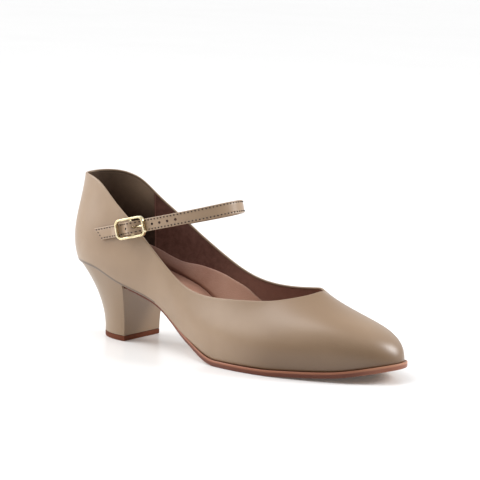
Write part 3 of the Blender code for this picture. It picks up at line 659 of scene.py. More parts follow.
# The arch wing. The footbed's leather is carried up the inner side over a thin crescent of foam,
# from the seat to the ball, and glued to the lining. Its upper edge is a clean cut curve, and its
# foot meets the footbed in a soft crease.
WING_PAD = 0.0015
WING_LEATHER = 0.0008
WING_FOOT = 0.13  # share of the way up where its face starts
WING_BRIM = 0.0002  # rounding of its cut edge
WING_SINK = 0.0004  # its foot below the footbed's face
WING = [
    # sections from the back, share of the way up
    (1.20, 0.14),
    (1.55, 0.22),
    (1.89, 0.27),
    (2.34, 0.31),
    (2.80, 0.47),
    (3.40, 0.67),
    (3.83, 0.72),
    (4.23, 0.64),
    (4.60, 0.42),
    (5.00, 0.14),
]


def ends_closed(rows):
    """A tube with its first and last rings drawn in to their middles."""
    first = np.repeat(rows[:1, :-1].mean(1, keepdims=True), rows.shape[1], 1)
    last = np.repeat(rows[-1:, :-1].mean(1, keepdims=True), rows.shape[1], 1)
    return np.concatenate([first, rows, last])


def wing_rows():
    """Loops along the wing: up its padded face, over its edge, down behind and round its foot.

    The pad's depth is half a sine, shifted so that it is nearly full at the foot and nothing at the
    edge, and it fades to both ends.
    """
    reach, height = np.array(WING).T
    inside = (T > BACK + reach[0]) & (T < BACK + reach[-1])
    top = monotone_curve(T - BACK, reach, height)
    s = np.linspace(0, 1, 30)[:, None]
    h = blend(WING_FOOT, top, s)
    lean = outward(T, h)
    face = upper_face(T, h)
    full = smooth(T - BACK, reach[0], reach[3]) * (1 - smooth(T - BACK, reach[-3], reach[-1]))
    pad = WING_LEATHER + WING_PAD * np.sin(np.pi * (0.10 + 0.90 * s) ** 0.6) ** 0.7 * full
    front = face - (UPPER_WALL + pad)[:, :, None] * lean
    brim = face[-1:] - (UPPER_WALL + 0.4 * WING_LEATHER) * lean[-1:]
    brim += WING_BRIM * unit(face[-1:] - face[-2:-1])
    behind = face[::-6] - (UPPER_WALL - GRIP_STEP) * lean[::-6]
    foot = inner_wall_at(FOOTBED - WING_SINK)[None]
    loops = np.concatenate([foot, front, brim, behind, foot])[:, inside]
    return ends_closed(loops.swapaxes(0, 1))


arch_wing = add_piece("arch_wing", [wing_rows()], bed_finish, (), 60)


# The outsole. Vegetable-tanned leather, cut a little wider than the upper at the forepart, its
# edge trimmed, stained in two tones and waxed. It is cemented on and runs back into the heel seat.
WELT = 0.0019  # overhang of the sole at the forepart


def overhang(t):
    """How far the sole's edge stands out past the feather line at t, as a column."""
    return WELT * ring_curve([(s.welt,) for s in SECTIONS], t)


out = overhang(T)[:, 0]
top_x = ring(-out, 0)[:, 0]
sole_height = sole_top(top_x) - sole_bottom(top_x)
edge_profile = [
    # inset, share of the thickness down, down in metres
    (0.00150, 0.0, 0.00000),
    (0.00110, 0.0, -0.00018),
    (0.00070, 0.0, -0.00042),
    (0.00036, 0.0, -0.00044),
    (0.00014, 0.0, -0.00026),
    (0.00002, 0.0, 0.00006),
    (0.00000, 0.0, 0.00050),
    (0.00004, 0.3, 0.00035),
    (0.00005, 0.5, 0.00000),
    (0.00004, 0.7, -0.00035),
    (0.00004, 1.0, -0.00070),
    (0.00014, 1.0, -0.00032),
    (0.00036, 1.0, -0.00010),
    (0.00075, 1.0, 0.00000),
]
sides = []
down = []
for inset, share, drop in edge_profile:
    row = ring(inset - out, 0)
    row[:, 2] -= share * (sole_top(row[:, 0]) - sole_bottom(row[:, 0])) + drop
    sides.append(row)
    down.append(share + drop / sole_height)
sides = np.array(sides)
top_lid = lid(sides[0], lambda x, across: sole_top(x), 12)
tread_lid = lid(sides[-1], lambda x, across: sole_bottom(x), 12)
marks = [closed(np.array(down)), np.zeros(top_lid.shape[:2]), np.full(tread_lid.shape[:2], 1.6)]


def sole_leather():
    """Stained edge: copper above, dark below, both lighter at the toe in a painted highlight. The tread
    is buffed tan, scuffed under the ball.
    """
    sole = Finish("sole_leather", Specular_IOR_Level=0.28, Coat_Roughness=0.30)
    down = sole.mark("down")
    fibres = sole.noise(420.0, 4.0, 0.6)
    layers = sole.layers(120.0, 1800.0)
    # Painted highlight: both tones of the edge lighter toward the toe.
    toe_edge_highlight = sole.ramp("X", 0.188, 0.205) * 0.7
    copper = sole.mix(toe_edge_highlight, colour(0.31, 0.120, 0.066), colour(0.46, 0.225, 0.135))
    umber = sole.mix(toe_edge_highlight, colour(0.125, 0.034, 0.017), colour(0.30, 0.115, 0.066))
    edge = sole.mix((down + layers * 0.25).between(0.20, 0.55), copper, umber)
    scuffs = sole.noise(34.0, 5.0, 0.7)
    under = sole.mix(scuffs.between(0.35, 0.65), colour(0.36, 0.21, 0.12), colour(0.46, 0.30, 0.19))
    worn = sole.ramp("X", 0.085, 0.115) * (1 - sole.ramp("X", 0.135, 0.170)) * 0.5
    under = sole.mix(worn * scuffs.between(0.4, 0.6), under, colour(0.27, 0.165, 0.105))
    flat = down.between(1.05, 1.25)
    sole.feed(
        Base_Color=sole.mix(flat, edge, under),
        Roughness=flat * 0.14 + fibres * 0.1 + 0.40,
        Coat_Weight=0.12 - flat * 0.11,
        Normal=sole.bump(fibres + layers, 0.00005),
    )
    return sole.material


grids = [closed(sides), top_lid, tread_lid]
add_piece("outsole", grids, sole_leather(), ["outsole"], 50, {"down": marks})


# The heel. A moulded block covered with the upper's leather, which is pulled round the sides and
# back and folded in at the breast. Its top is cupped, and the sole's seat lies in the cup.
TREAD_LENGTH = 0.0264
TREAD_WIDTH = 0.0364
SEAT_BREAST = 0.0510  # from the heel point forward to the breast
SEAT_RIM = 0.0012  # the heel's top edge inside the feather line
LIFT_THICKNESS = 0.0034
HEEL_ARC = 121  # points round the heel from breast to breast
HEEL_EDGE = 0.0012  # rounding of the covered edges


def seat_arc(inset, trim=0):
    """The feather line from the breast round the back to the breast, moved in by inset.

    With trim 1 it is the sole's edge there that is moved in.
    """
    t = np.linspace(*OUTER_QUARTER, 400)
    first = np.interp(-SEAT_BREAST, HEEL_POINT - feather_line(t)[:, 0], t)
    t = np.linspace(*INNER_QUARTER, 400)
    last = np.interp(SEAT_BREAST, feather_line(t)[:, 0] - HEEL_POINT, t)
    t = np.linspace(first, last, HEEL_ARC)
    arc = feather_line(t) + (inset - trim * overhang(t)) * inward(t)[:, :2]
    arc[0, 0] = arc[-1, 0] = HEEL_POINT + SEAT_BREAST
    return np.column_stack([arc, sole_top(arc[:, 0])])


def tread_arc(height, inset=0.0):
    """The heel's outline at the floor, a half ellipse behind a straight breast."""
    angle = np.linspace(-np.pi / 2, np.pi / 2, HEEL_ARC)
    x = TREAD_LENGTH / 2 - inset - (TREAD_LENGTH - 2 * inset) * np.cos(angle)
    y = (TREAD_WIDTH / 2 - inset) * np.sin(angle)
    return np.column_stack([x, y, np.full(HEEL_ARC, height)])


def d_lid(arc, height_at=None, columns=24):
    """Strips across an arc from each point to its mirror point."""
    half = HEEL_ARC // 2 + 1
    share = np.linspace(0, 1, columns + 1)[None, :, None]
    grid = blend(arc[:half, None], arc[::-1][:half, None], share)
    if height_at is not None:
        grid[:, 1:-1, 2] = height_at(grid[:, 1:-1, 0])
    return grid


def soften(item, width):
    """Rounds a piece's sharp edges."""
    bevel = item.modifiers.new("edges", "BEVEL")
    bevel.width = width
    bevel.segments = 3
    bevel.limit_method = "ANGLE"
    bevel.angle_limit = np.radians(50)


top, foot = seat_arc(SEAT_RIM), tread_arc(LIFT_THICKNESS + GAP)
cup = seat_arc(-GAP, trim=1)
cup_floor = cup.copy()
cup_floor[:, 2] = sole_bottom(cup[:, 0]) - GAP
cup_level = (top[:, 2] - sole_bottom(top[:, 0]) + GAP) / (top[:, 2] - foot[:, 2])
down = blend(cup_level, 1.0, np.linspace(0, 1, 36)[:, None])
level = np.concatenate([np.zeros((1, HEEL_ARC)), down])[:, :, None]
arcs = blend(top, foot, 1 - (1 - level) ** 2)  # drawn in most right under the seat
arcs[:, :, 2:] = blend(top[:, 2:], foot[:, 2:], level)
start, end = (cup[[0, -1], 1] - top[0, 1]) / (top[-1, 1] - top[0, 1])
share = np.concatenate([[0.0], np.linspace(start, end, 21), [1.0]])[None, :, None]
breast = blend(arcs[1:, :1], arcs[1:, -1:], share)
cup_lid = d_lid(cup_floor, lambda x: sole_bottom(x) - GAP, 20)
breast[0, 1:-1] = cup_lid[0]
heel_foot = d_lid(foot, None, 22)
heel_foot[0] = breast[-1]
ears = [np.array([[arcs[0, i], cup[i]], [arcs[1, i], cup_floor[i]]]) for i in (0, -1)]
rim_walls = [np.array([arcs[0], cup]), np.array([cup, cup_floor])]
grids = [arcs, breast, *ears, *rim_walls, cup_lid, heel_foot]
# The heel's copy of the upper's leather, tinted darker and browner all over: painted shade, standing in for
# the shade that falls on its breast.
shaded_heel_leather = tan_leather("heel_leather_painted_shade", tint=colour(0.242, 0.155, 0.085), share=0.85)
heel = add_piece("heel", grids, shaded_heel_leather, ["heel"], 40)
soften(heel, HEEL_EDGE)


# The top lift. Hard leather-board nailed and cemented under the heel, trimmed flush with the cover
# and stained with the same edge ink as the sole.
LIFT_EDGE = 0.0003  # rounding of its cut edges
TREAD_WEAR = 0.0007  # height over which the edge is rubbed round at the tread
TREAD_STEP = 0.0002  # height and inset of a point of that edge
TREAD_INSET = 0.0006  # of the tread's face at the floor

arcs = np.array([
    tread_arc(LIFT_THICKNESS),
    tread_arc(LIFT_THICKNESS * 0.5),
    tread_arc(TREAD_WEAR),
    tread_arc(TREAD_STEP, TREAD_STEP),
    tread_arc(0.0, TREAD_INSET),
])
share = np.linspace(0, 1, 25)[None, :, None]
grids = [arcs, blend(arcs[:, :1], arcs[:, -1:], share), d_lid(arcs[0]), d_lid(arcs[-1])]


def lift_leather():
    """Edge ink over leather-board: reddish brown, faint layers, rubbed paler at the tread."""
    lift = Finish("lift_leather", Specular_IOR_Level=0.08)
    layers = lift.layers(90.0, 2600.0)
    specks = lift.noise(700.0, 3.0)
    ink = lift.mix(layers.between(0.3, 0.7), colour(0.110, 0.031, 0.015), colour(0.150, 0.048, 0.025))
    tread = lift.mix(specks.between(0.35, 0.65), colour(0.20, 0.10, 0.06), colour(0.30, 0.17, 0.11))
    lift.feed(
        Base_Color=lift.mix(lift.ramp("Z", 0.0001, 0.0006), tread, ink),
        Roughness=specks * 0.2 + 0.52,
        Normal=lift.bump(layers + specks, 0.00006),
    )
    return lift.material


lift = add_piece("top_lift", grids, lift_leather(), ["top_lift"], 40)
soften(lift, LIFT_EDGE)


# The strap. Two plies of the tan leather, edges turned in and stitched together along both sides
# and round the slanted end, with a row of punched holes. It runs through the buckle, over the
# instep, and down the outside of the inner quarter, where it is sewn.
STRAP_WIDTH = 0.0080
STRAP_THICKNESS = 0.0016
STRAP_REACH = 0.0586  # level, from the buckle's centre forward to the bend's front
STRAP_LIFT = 0.0009  # of the bend's front over the strap's plane
STRAP_RISE = 0.0007  # of the buckle's centre over the topline
TAIL_LENGTH = 0.0310  # from the buckle's centre back to the cut end
TAIL_SLANT = 0.0057  # of that end, over the strap's width
INNER_OVERLAP = 0.0200  # sewn down past the bend on the inner quarter
BUCKLE_SETBACK = 0.0635  # from the heel point forward to the buckle's centre
FRAME_LENGTH = 0.0236
FRAME_WIDTH = 0.0132
FRAME_BAR = 0.0022  # room kept for the frame's bars
FRAME_DEPTH = 0.0025
FRAME_CORNER = 0.0032
CENTRE_BAR = 0.0014
PRONG = 0.0011
LOOP_THICKNESS = 0.0007
SLOPE = np.radians(15.0)  # of the strap's plane, which rises to the front
ALONG = np.array([np.cos(SLOPE), 0.0, np.sin(SLOPE)])
ACROSS = np.array([-np.sin(SLOPE), 0.0, np.cos(SLOPE)])
OUT = np.array([0.0, -1.0, 0.0])

QUARTER_ROWS = np.linspace(0, 1, 40)[:, None]
OUTER_FACE = upper_face(np.linspace(*OUTER_QUARTER, 60), QUARTER_ROWS)
INNER_FACE = upper_face(np.linspace(*INNER_QUARTER, 60), QUARTER_ROWS)


def quarter_y(face, x, z):
    """y of a quarter's outer face at x and z: each column's point at that height, then between two.

    Over the topline it runs on straight up.
    """
    x, z = np.broadcast_arrays(np.asarray(x, float), np.asarray(z, float))
    level = np.array([
        [np.interp(z.ravel(), column[:, 2], column[:, axis]) for column in face.swapaxes(0, 1)]
        for axis in (0, 1)
    ])
    if level[0, 0, 0] > level[0, -1, 0]:
        level = level[:, ::-1]
    point = np.arange(x.size)
    i = np.clip((level[0] < x.ravel()).sum(0), 1, level.shape[1] - 1)
    (x0, y0), (x1, y1) = level[:, i - 1, point], level[:, i, point]
    share = np.clip((x.ravel() - x0) / (x1 - x0), 0.0, 1.0)
    return blend(y0, y1, share).reshape(x.shape)


def topline_z(face, x):
    """Height of a quarter's topline at x, straight between its points."""
    edge = face[-1][np.argsort(face[-1][:, 0])]
    return np.interp(x, edge[:, 0], edge[:, 2])


BUCKLE_X = HEEL_POINT + BUCKLE_SETBACK
STRAP_ORIGIN = np.array([BUCKLE_X, 0.0, topline_z(OUTER_FACE, BUCKLE_X) + STRAP_RISE])


def strap_place(along, across):
    """x and z of a point in the strap's plane, which rises to the front."""
    along, across = np.broadcast_arrays(np.asarray(along, float), np.asarray(across, float))
    point = STRAP_ORIGIN + along[..., None] * ALONG + across[..., None] * ACROSS
    return point[..., 0], point[..., 2]


half_length, half_width = np.meshgrid(np.linspace(-1, 1, 5), np.linspace(-1, 1, 5))
BUCKLE_BASE = quarter_y(
    OUTER_FACE, *strap_place(half_length * FRAME_LENGTH / 2, half_width * FRAME_WIDTH / 2)
).min()
CENTRE_BAR_HEIGHT = GAP + PRONG + GAP + CENTRE_BAR / 2 + 2 * GAP
STRAP_OVER = CENTRE_BAR_HEIGHT + CENTRE_BAR / 2 + LOOP_THICKNESS + 3 * GAP + STRAP_THICKNESS / 2
STRAP_UNDER = 2 * GAP + LOOP_THICKNESS / 3 + STRAP_THICKNESS / 2
FRAME_HEIGHT = STRAP_UNDER + STRAP_THICKNESS / 2 + 1.5 * GAP + FRAME_DEPTH / 2
END_BAR = (FRAME_LENGTH - FRAME_BAR) / 2
SIDE_BAR = (FRAME_WIDTH - FRAME_BAR) / 2
HUMP = END_BAR - FRAME_BAR / 2 - GAP
STRAP_TURN = 0.7 * END_BAR
FADE = 0.0080  # length over which the strap leaves the quarter's face


def buckle_point(along, across, height):
    """A point over the quarter under the buckle, from the buckle's centre."""
    along, across, height = (np.asarray(v, float)[..., None] for v in (along, across, height))
    point = STRAP_ORIGIN + along * ALONG + across * ACROSS + height * OUT
    return point + np.array([0.0, BUCKLE_BASE, 0.0])


def outer_strap_point(along, across, height):
    """From the cut end to the bend: over the quarter, and up over the centre bar in a cosine hump."""
    x, z = strap_place(along, across)
    at_buckle = smooth(along, -FRAME_LENGTH / 2 - FADE, -FRAME_LENGTH / 2)
    base = blend(quarter_y(OUTER_FACE, x, z), BUCKLE_BASE, at_buckle)
    hump = np.cos(np.pi / 2 * np.minimum(np.abs(along) / HUMP, 1.0)) ** 2
    middle = GAP + STRAP_THICKNESS / 2
    middle = middle + at_buckle * (STRAP_UNDER - middle) + hump * (STRAP_OVER - STRAP_UNDER)
    return np.stack(np.broadcast_arrays(x, base - middle - height, z), -1)


def inner_strap_point(along, across, height):
    """On the inner quarter, where it settles on the leather behind the bend."""
    x, z = strap_place(along, across)
    near = smooth(along, -FADE, STRAP_TURN)
    flat = quarter_y(INNER_FACE, *strap_place(0.0, 0.0))
    base = blend(quarter_y(INNER_FACE, x, z), flat, near)
    return np.stack(np.broadcast_arrays(x, base + GAP + STRAP_THICKNESS / 2 + height, z), -1)


ARCH_START = float(outer_strap_point(STRAP_TURN, 0.0, 0.0)[1])
ARCH_END = float(inner_strap_point(STRAP_TURN, 0.0, 0.0)[1])
ARCH_HALF = (ARCH_END - ARCH_START) / 2
ARCH_REACH = STRAP_REACH / np.cos(SLOPE) - STRAP_TURN


def arch_strap_point(angle, across, height):
    """Round the instep: half an ellipse that lifts a little at the front."""
    square = unit(np.stack([ARCH_HALF * np.sin(angle), -ARCH_REACH * np.cos(angle)], -1))
    along = STRAP_TURN + ARCH_REACH * np.sin(angle) + height * square[..., 0]
    x, z = strap_place(along, across + STRAP_LIFT * np.sin(angle) ** 4)
    y = (ARCH_START + ARCH_END) / 2 - ARCH_HALF * np.cos(angle) + height * square[..., 1]
    return np.stack(np.broadcast_arrays(x, y, z), -1)


ANGLES = np.linspace(0, np.pi, 800)
arch = arch_strap_point(ANGLES, 0.0, 0.0)
RUN = np.concatenate([[0.0], np.cumsum(np.linalg.norm(np.diff(arch, axis=0), axis=1))])
STRAP_END = STRAP_TURN + RUN[-1] + STRAP_TURN + INNER_OVERLAP


def strap_point(run, across, height):
    """A point of the strap: run along its length from the buckle's centre, across it, and out."""
    run, across, height = np.broadcast_arrays(*(np.asarray(v, float) for v in (run, across, height)))
    outer = outer_strap_point(np.minimum(run, STRAP_TURN), across, height)
    arch = arch_strap_point(np.interp(run - STRAP_TURN, RUN, ANGLES), across, height)
    home = 2 * STRAP_TURN + RUN[-1] - run
    inner = inner_strap_point(np.minimum(home, STRAP_TURN), across, height)
    run = run[..., None]
    return np.where(run <= STRAP_TURN, outer, np.where(run < STRAP_TURN + RUN[-1], arch, inner))


STITCH_INSET = 0.0011
STITCH_PITCH = 0.0023
GROOVE = 0.00012  # depth of the furrow that the stitches draw
GROOVE_WIDTH = 0.00035
HOLE = 0.0017
HOLES = (-0.0022, 0.0163, 0.0218, 0.0273, 0.0329)  # runs; the first shows inside the buckle
CORNER = 0.0004  # rounding of the strap's edges


def strap_section():
    """Offsets round the strap: crowned between its stitch lines, sunk along them, edges rounded."""
    w, d = STRAP_WIDTH / 2, STRAP_THICKNESS / 2
    a = np.linspace(w - CORNER, CORNER - w, 37)
    line = w - STITCH_INSET
    top = d - GROOVE * np.exp(-(((np.abs(a) - line) / GROOVE_WIDTH) ** 2))
    angle = np.radians(np.linspace(0, 75, 5))
    round_a = w - CORNER + CORNER * np.sin(angle[::-1] + np.radians(15))
    round_h = d - CORNER + CORNER * np.cos(angle[::-1] + np.radians(15))
    a = np.concatenate([round_a, a[1:-1], -round_a[::-1]])
    top = np.concatenate([round_h, top[1:-1], round_h[::-1]])
    under_a = np.concatenate([-round_a, np.linspace(CORNER - w, w - CORNER, 9)[1:-1], round_a[::-1]])
    under_h = np.concatenate([-round_h, np.full(7, -d), -round_h[::-1]])
    return np.concatenate([a, under_a, a[:1]]), np.concatenate([top, under_h, top[:1]])


def strap_grid():
    """The strap's skin: its section carried along the run, the cut end slanted, both ends closed."""
    run = np.concatenate([
        np.linspace(-TAIL_LENGTH, -HUMP, 60)[:-1],
        np.linspace(-HUMP, STRAP_TURN, 60)[:-1],
        np.linspace(STRAP_TURN, STRAP_END, 400),
    ])
    a, h = strap_section()
    shrink = np.concatenate([[0.0, 0.5, 0.93], np.ones(len(run)), [0.93, 0.5, 0.0]])[:, None]
    lift = np.concatenate([[0.0, 0.5, 0.8], np.ones(len(run)), [0.8, 0.5, 0.0]])[:, None]
    run = np.concatenate([run[:1]] * 3 + [run] + [run[-1:]] * 3)[:, None]
    across = a * shrink
    slant = smooth(-run, HUMP + FRAME_BAR, TAIL_LENGTH) * TAIL_SLANT / STRAP_WIDTH
    return strap_point(run - slant * across * (run < 0), across, h * lift)


def punch(run, half_length, half_width, sides=20):
    """A closed pin through the strap, its section a circle drawn out along the strap."""
    angle = np.linspace(0, 2 * np.pi, sides + 1)
    along = half_width * np.cos(angle) + np.sign(np.cos(angle)) * (half_length - half_width)
    across = half_width * np.sin(angle)
    depth = np.array([-1.0, -1.0, 1.0, 1.0])[:, None] * STRAP_THICKNESS
    keep = np.array([0.0, 1.0, 1.0, 0.0])[:, None]
    return strap_point(run + along * keep, across * keep, depth)


def cut(item, tools, inside):
    """Cuts closed shapes out of a piece, with their own finish inside the holes."""
    item.data.materials.append(inside)
    mesh = grid_mesh("punches", tools)
    for finish in item.data.materials:
        mesh.materials.append(finish)
    last = len(item.data.materials) - 1
    mesh.polygons.foreach_set("material_index", np.full(len(mesh.polygons), last, np.int32))
    helper = bpy.data.objects.new("punches", mesh)
    bpy.context.scene.collection.objects.link(helper)
    modifier = item.modifiers.new("holes", "BOOLEAN")
    modifier.operation = "DIFFERENCE"
    modifier.solver = "EXACT"
    modifier.object = helper
    bpy.context.view_layer.update()
    solid = item.evaluated_get(bpy.context.evaluated_depsgraph_get())
    result = bpy.data.meshes.new_from_object(solid)
    item.modifiers.clear()
    old, item.data = item.data, result
    result.name = old.name = item.name
    bpy.data.objects.remove(helper, do_unlink=True)


strap_finish = tan_leather("strap_leather", tint=colour(0.46, 0.325, 0.220), share=0.3)
strap = add_piece("strap", [strap_grid()], strap_finish, ["strap"], 50)
# Painted shade: the walls of the punched holes near black, for the shade inside them.
hole_wall_shade = Finish("hole_wall_shade", Roughness=0.8)
fibre = hole_wall_shade.noise(1500.0, 3.0)
hole_wall_shade.feed(Base_Color=hole_wall_shade.mix(fibre, colour(0.020, 0.011, 0.008), colour(0.050, 0.028, 0.018)))
cut(strap, [punch(run, HOLE / 2, HOLE / 2) for run in HOLES], hole_wall_shade.material)
slot_start, slot_end = CENTRE_BAR / 2 + 5 * GAP, 0.7 * HUMP
slot = punch((slot_start + slot_end) / 2, (slot_end - slot_start) / 2, PRONG / 2 + GAP, 24)
cut(strap, [slot], strap.data.materials[0])


# The strap's stitching. Two rows of dark waxed thread, about eleven stitches to the inch, and one
# row along the slanted end. Each stitch sinks into the leather at both ends.
STITCH = 0.0013
THREAD = 0.00085
STEP = 1e-5  # for a direction


def stitches(run, across, heading):
    """Short bent threads on the strap, one for each run, place across, and heading along or across.

    Each is a tube whose middle stands out of the leather and whose ends dip into it.
    """
    u = np.linspace(-0.5, 0.5, 7)
    ring_angle = np.linspace(0, 2 * np.pi, 7)
    cosine, sine = np.cos(heading)[:, None], np.sin(heading)[:, None]
    along = run[:, None] + STITCH * u * cosine
    over = across[:, None] + STITCH * u * sine
    bend = STRAP_THICKNESS / 2 - GROOVE + THREAD * (0.10 - 16.0 * u**4)
    thick = THREAD * np.sqrt(np.clip(1 - (2 * u) ** 6, 0.0, 1.0))
    middle = strap_point(along, over, bend)
    out = unit(strap_point(along, over, bend + STEP) - middle)
    ahead = unit(strap_point(along + STEP * cosine, over + STEP * sine, bend) - middle)
    side = np.cross(ahead, out)
    tube = np.cos(ring_angle)[:, None] * side[:, :, None] + np.sin(ring_angle)[:, None] * out[:, :, None]
    return middle[:, :, None] + tube * (thick / 2)[:, None, None]


line = STRAP_WIDTH / 2 - STITCH_INSET
slant = TAIL_SLANT / STRAP_WIDTH
first = -TAIL_LENGTH + STITCH_INSET
rows = []
for side in (-line, line):
    run = np.arange(first - side * slant, STRAP_END - STITCH_INSET, STITCH_PITCH)
    rows.append(stitches(run, np.full(len(run), side), np.zeros(len(run))))
across = np.linspace(-line, line, 4)[1:-1]
rows.append(stitches(first - slant * across, across, np.full(2, np.pi - np.arctan(1 / slant))))
grids = list(np.concatenate(rows))
thread = Finish("dark_thread", Specular_IOR_Level=0.4, Roughness=0.55)
twist = thread.noise(2400.0, 2.0).between(0.35, 0.65)
thread.feed(Base_Color=thread.mix(twist, colour(0.0198, 0.011, 0.00715), colour(0.036, 0.020, 0.013)))
add_piece("strap_stitches", grids, thread.material, (), 80)


# The buckle. A frame cast in brass and plated pale gold, its long sides waved, with a round centre
# bar. The prong is wire, hooked round the bar, and comes up through the strap on to the front bar.
FACE = 0.0015  # width of the frame's face
WAVE = 0.06  # share by which the side bars swell and thin
WAVE_LENGTH = 0.0063
WAVE_SHIFT = 0.0035
FACE_ROUND = 0.00045


def rounded_corners(half_length, half_width, radius, count):
    """The four quarter circles of a rounded rectangle, in turn."""
    arc = np.radians(np.linspace(0, 90, count))
    corners = []
    for turn, (i, j) in enumerate(((1, 1), (-1, 1), (-1, -1), (1, -1))):
        angle = arc + turn * np.pi / 2
        x = i * (half_length - radius) + radius * np.cos(angle)
        y = j * (half_width - radius) + radius * np.sin(angle)
        corners.append(np.stack([x, y], -1))
    return corners


def bar_section(width, depth, radius):
    """Offsets round a bar: a rectangle with rounded corners."""
    section = np.concatenate(rounded_corners(width / 2, depth / 2, radius, 6))
    return np.concatenate([section, section[:1]])


def round_section(diameter, sides=16):
    """Offsets round a circle."""
    angle = np.linspace(0, 2 * np.pi, sides + 1)
    return np.stack([np.cos(angle), np.sin(angle)], -1) * diameter / 2


def sweep(path, axis, section, scale=1.0, loop=False):
    """Carries a section along a path that lies square to axis: offsets in its plane and along axis."""
    if loop:
        tangent = np.roll(path, -1, 0) - np.roll(path, 1, 0)
    else:
        tangent = np.gradient(path, axis=0)
    side = np.cross(axis, unit(tangent))
    offset = section * np.stack([np.full(len(path), scale), np.ones(len(path))], -1)[:, None]
    rows = path[:, None] + offset[:, :, :1] * side[:, None] + offset[:, :, 1:] * axis
    return np.concatenate([rows, rows[:1]]) if loop else rows


def frame_path():
    """A rounded rectangle round the buckle's centre, its long sides waved in and out."""
    along = np.linspace(END_BAR - FRAME_CORNER, FRAME_CORNER - END_BAR, 40)[1:-1]
    short = np.linspace(SIDE_BAR - FRAME_CORNER, FRAME_CORNER - SIDE_BAR, 10)[1:-1]
    sides = ((along, SIDE_BAR), (-END_BAR, short), (-along, -SIDE_BAR), (END_BAR, -short))
    parts = []
    for corner, side in zip(rounded_corners(END_BAR, SIDE_BAR, FRAME_CORNER, 14), sides):
        parts += [corner, np.stack(np.broadcast_arrays(*side), -1)]
    flat = np.concatenate(parts)
    long_side = smooth(np.abs(flat[:, 1]), SIDE_BAR - 0.002, SIDE_BAR) * (np.abs(flat[:, 0]) < END_BAR)
    wave = 1.0 + WAVE * long_side * np.cos(2 * np.pi * (flat[:, 0] + WAVE_SHIFT) / WAVE_LENGTH)
    flat *= np.array([FRAME_LENGTH - FACE, FRAME_WIDTH - FACE]) / (2 * END_BAR, 2 * SIDE_BAR)
    return buckle_point(flat[:, 0], flat[:, 1], FRAME_HEIGHT), wave


def pale_brass():
    """Plated brass: bright and faintly rubbed."""
    brass = Finish("pale_brass", Metallic=1.0)
    rub = brass.noise(180.0, 3.0, 0.6)
    fine = brass.noise(1300.0, 3.0, 0.6)
    brass.feed(
        Base_Color=brass.mix(rub.between(0.3, 0.7), colour(0.72, 0.60, 0.35), colour(0.86, 0.77, 0.53)),
        Roughness=rub * 0.12 + fine * 0.06 + 0.18,
        Normal=brass.bump(rub + fine * 0.3, 0.00003),
    )
    return brass.material


brass = pale_brass()
path, wave = frame_path()
frame_section = bar_section(FACE, FRAME_DEPTH, FACE_ROUND)
ring_rows = sweep(path, OUT, frame_section, wave / (1 + WAVE), loop=True)
bar_path = buckle_point(np.zeros(12), np.linspace(-SIDE_BAR, SIDE_BAR, 12), CENTRE_BAR_HEIGHT)
bar_rows = ends_closed(sweep(bar_path, ALONG, round_section(CENTRE_BAR)))
add_piece("buckle_frame", [ring_rows, bar_rows], brass, ["buckle_frame"], 50)

hook = (CENTRE_BAR + PRONG) / 2 + GAP
angle = np.radians(np.linspace(120, 315, 24))
bend = np.stack([hook * np.cos(angle), CENTRE_BAR_HEIGHT + hook * np.sin(angle)], -1)
rest = FRAME_HEIGHT + (FRAME_DEPTH + PRONG) / 2 + GAP
start = bend[-1]
knee = start + 0.3 * (rest - start[1])
over, front = np.array([(END_BAR * 0.8, rest), (END_BAR, rest)])
rise = bezier(np.linspace(0, 1, 24)[1:, None], start, knee, over, front)
tip = np.array([(END_BAR + FRAME_BAR * 0.6, rest - GAP / 2)])
path = np.concatenate([bend, rise, tip])
path = buckle_point(path[:, 0], np.zeros(len(path)), path[:, 1])
thinning = np.concatenate([np.ones(len(path) - 6), np.linspace(1.0, 0.75, 6)])
prong_rows = ends_closed(sweep(path, ACROSS, round_section(PRONG), thinning))
add_piece("buckle_prong", [prong_rows], brass, ["buckle_prong"], 50)


# The buckle's loop. A folded strip of the tan leather round the centre bar, glued and tacked to the
# quarter. It is hidden but for its edges, so the solid keeps its shape and takes the leather.
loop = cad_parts["buckle_loop"]
loop.data.materials.clear()
loop.data.materials.append(tan_leather("loop_leather"))


# The studio. A pale, faintly glossy table runs past the picture's edges. A broad soft light comes
# from the outer side behind the heel, one lamp hangs overhead, another stands off the toe on the
# inner side, and the white room is brighter above and behind the shoe.
def set_up(name, data, place, back, roll=0.0):
    """Adds a lamp or a camera at a place, with its back to a direction and rolled about it."""
    item = bpy.data.objects.new(name, data)
    level = unit(np.cross(UP, back))
    rise = np.cross(back, level)
    right = level * np.cos(roll) + rise * np.sin(roll)
    above = rise * np.cos(roll) - level * np.sin(roll)
    axes = Matrix(np.column_stack([right, above, back]).tolist()).to_4x4()
    item.matrix_world = Matrix.Translation(place) @ axes
    bpy.context.scene.collection.objects.link(item)
    return item


def add_lamp(name, place, aim, size, power):
    """A round lamp at a place, turned to a point."""
    lamp = bpy.data.lights.new(name, "AREA")
    lamp.shape = "DISK"
    lamp.size = size
    lamp.energy = power
    set_up(name, lamp, place, unit(np.subtract(place, aim)))


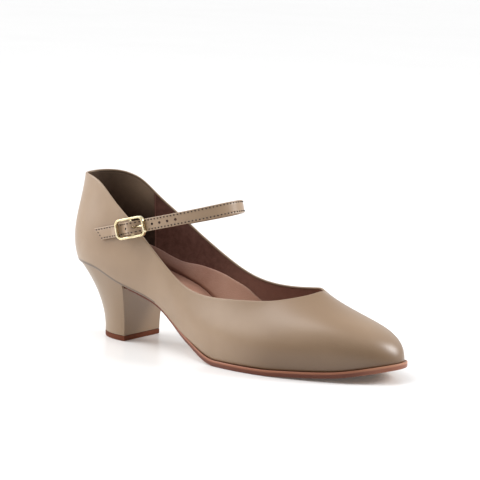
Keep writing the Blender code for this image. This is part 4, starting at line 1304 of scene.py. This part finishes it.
table_finish = Finish(
    "pale_table",
    Base_Color=colour(0.90, 0.90, 0.90),
    Specular_IOR_Level=0.30,
    Emission_Color=colour(1.0, 1.0, 1.0),
    Emission_Strength=0.055,
)
table_finish.feed(Roughness=table_finish.noise(3.0) * 0.06 + 0.22)
mesh = bpy.data.meshes.new("table")
mesh.from_pydata([(-9, -9, 0), (9, -9, 0), (9, 9, 0), (-9, 9, 0)], [], [(0, 1, 2, 3)])
mesh.materials.append(table_finish.material)
table = bpy.data.objects.new("table", mesh)
bpy.context.scene.collection.objects.link(table)

key = bpy.data.lights.new("key_light", "SUN")
key.energy = 2.65
key.angle = np.radians(55)
set_up("key_light", key, (0.0, 0.0, 0.0), unit(np.array([-0.75, -0.35, 0.55])))
add_lamp("top_lamp", (-0.15, -0.25, 1.15), (0.14, 0.0, 0.03), 0.55, 3.2)
add_lamp("toe_lamp", (1.00, 0.70, 0.70), (0.19, 0.0, 0.03), 0.58, 12.5)

world = bpy.data.worlds.new("room")
world.use_nodes = True
room = Nodes(world.node_tree)
ways = room.node("ShaderNodeTexCoord", output="Generated")
bright = unit(np.array([-0.5, 0.5, 0.7]))  # the way to the room's bright side
toward = room.node("ShaderNodeVectorMath", {"operation": "DOT_PRODUCT"}, {0: ways, 1: bright}, "Value")
limits = {"Value": toward, "From Min": -0.7, "From Max": 0.7, "To Min": 0.06, "To Max": 0.80}
strength = room.node("ShaderNodeMapRange", None, limits)
background = room.tree.nodes["Background"]
background.inputs["Color"].default_value = colour(1.0, 1.0, 1.0)
room.tree.links.new(strength.socket, background.inputs["Strength"])
bpy.context.scene.world = world
bpy.context.scene.view_settings.view_transform = "Standard"

# The camera, at the photo's place.
AZIMUTH, ELEVATION, TILT = np.radians((35.97, 9.13, 1.74))
DISTANCE = 1.51351
TARGET = np.array([0.08503, 0.00582, 0.07176])
FOCAL = 2415.55 / 480  # in widths of the picture
SENSOR = 36.0
back = np.array([
    np.sin(AZIMUTH) * np.cos(ELEVATION),
    -np.cos(AZIMUTH) * np.cos(ELEVATION),
    np.sin(ELEVATION),
])
camera = bpy.data.cameras.new("camera")
camera.sensor_width = SENSOR
camera.lens = FOCAL * SENSOR
camera.clip_end = 50.0
bpy.context.scene.camera = set_up("camera", camera, TARGET + DISTANCE * back, back, TILT)
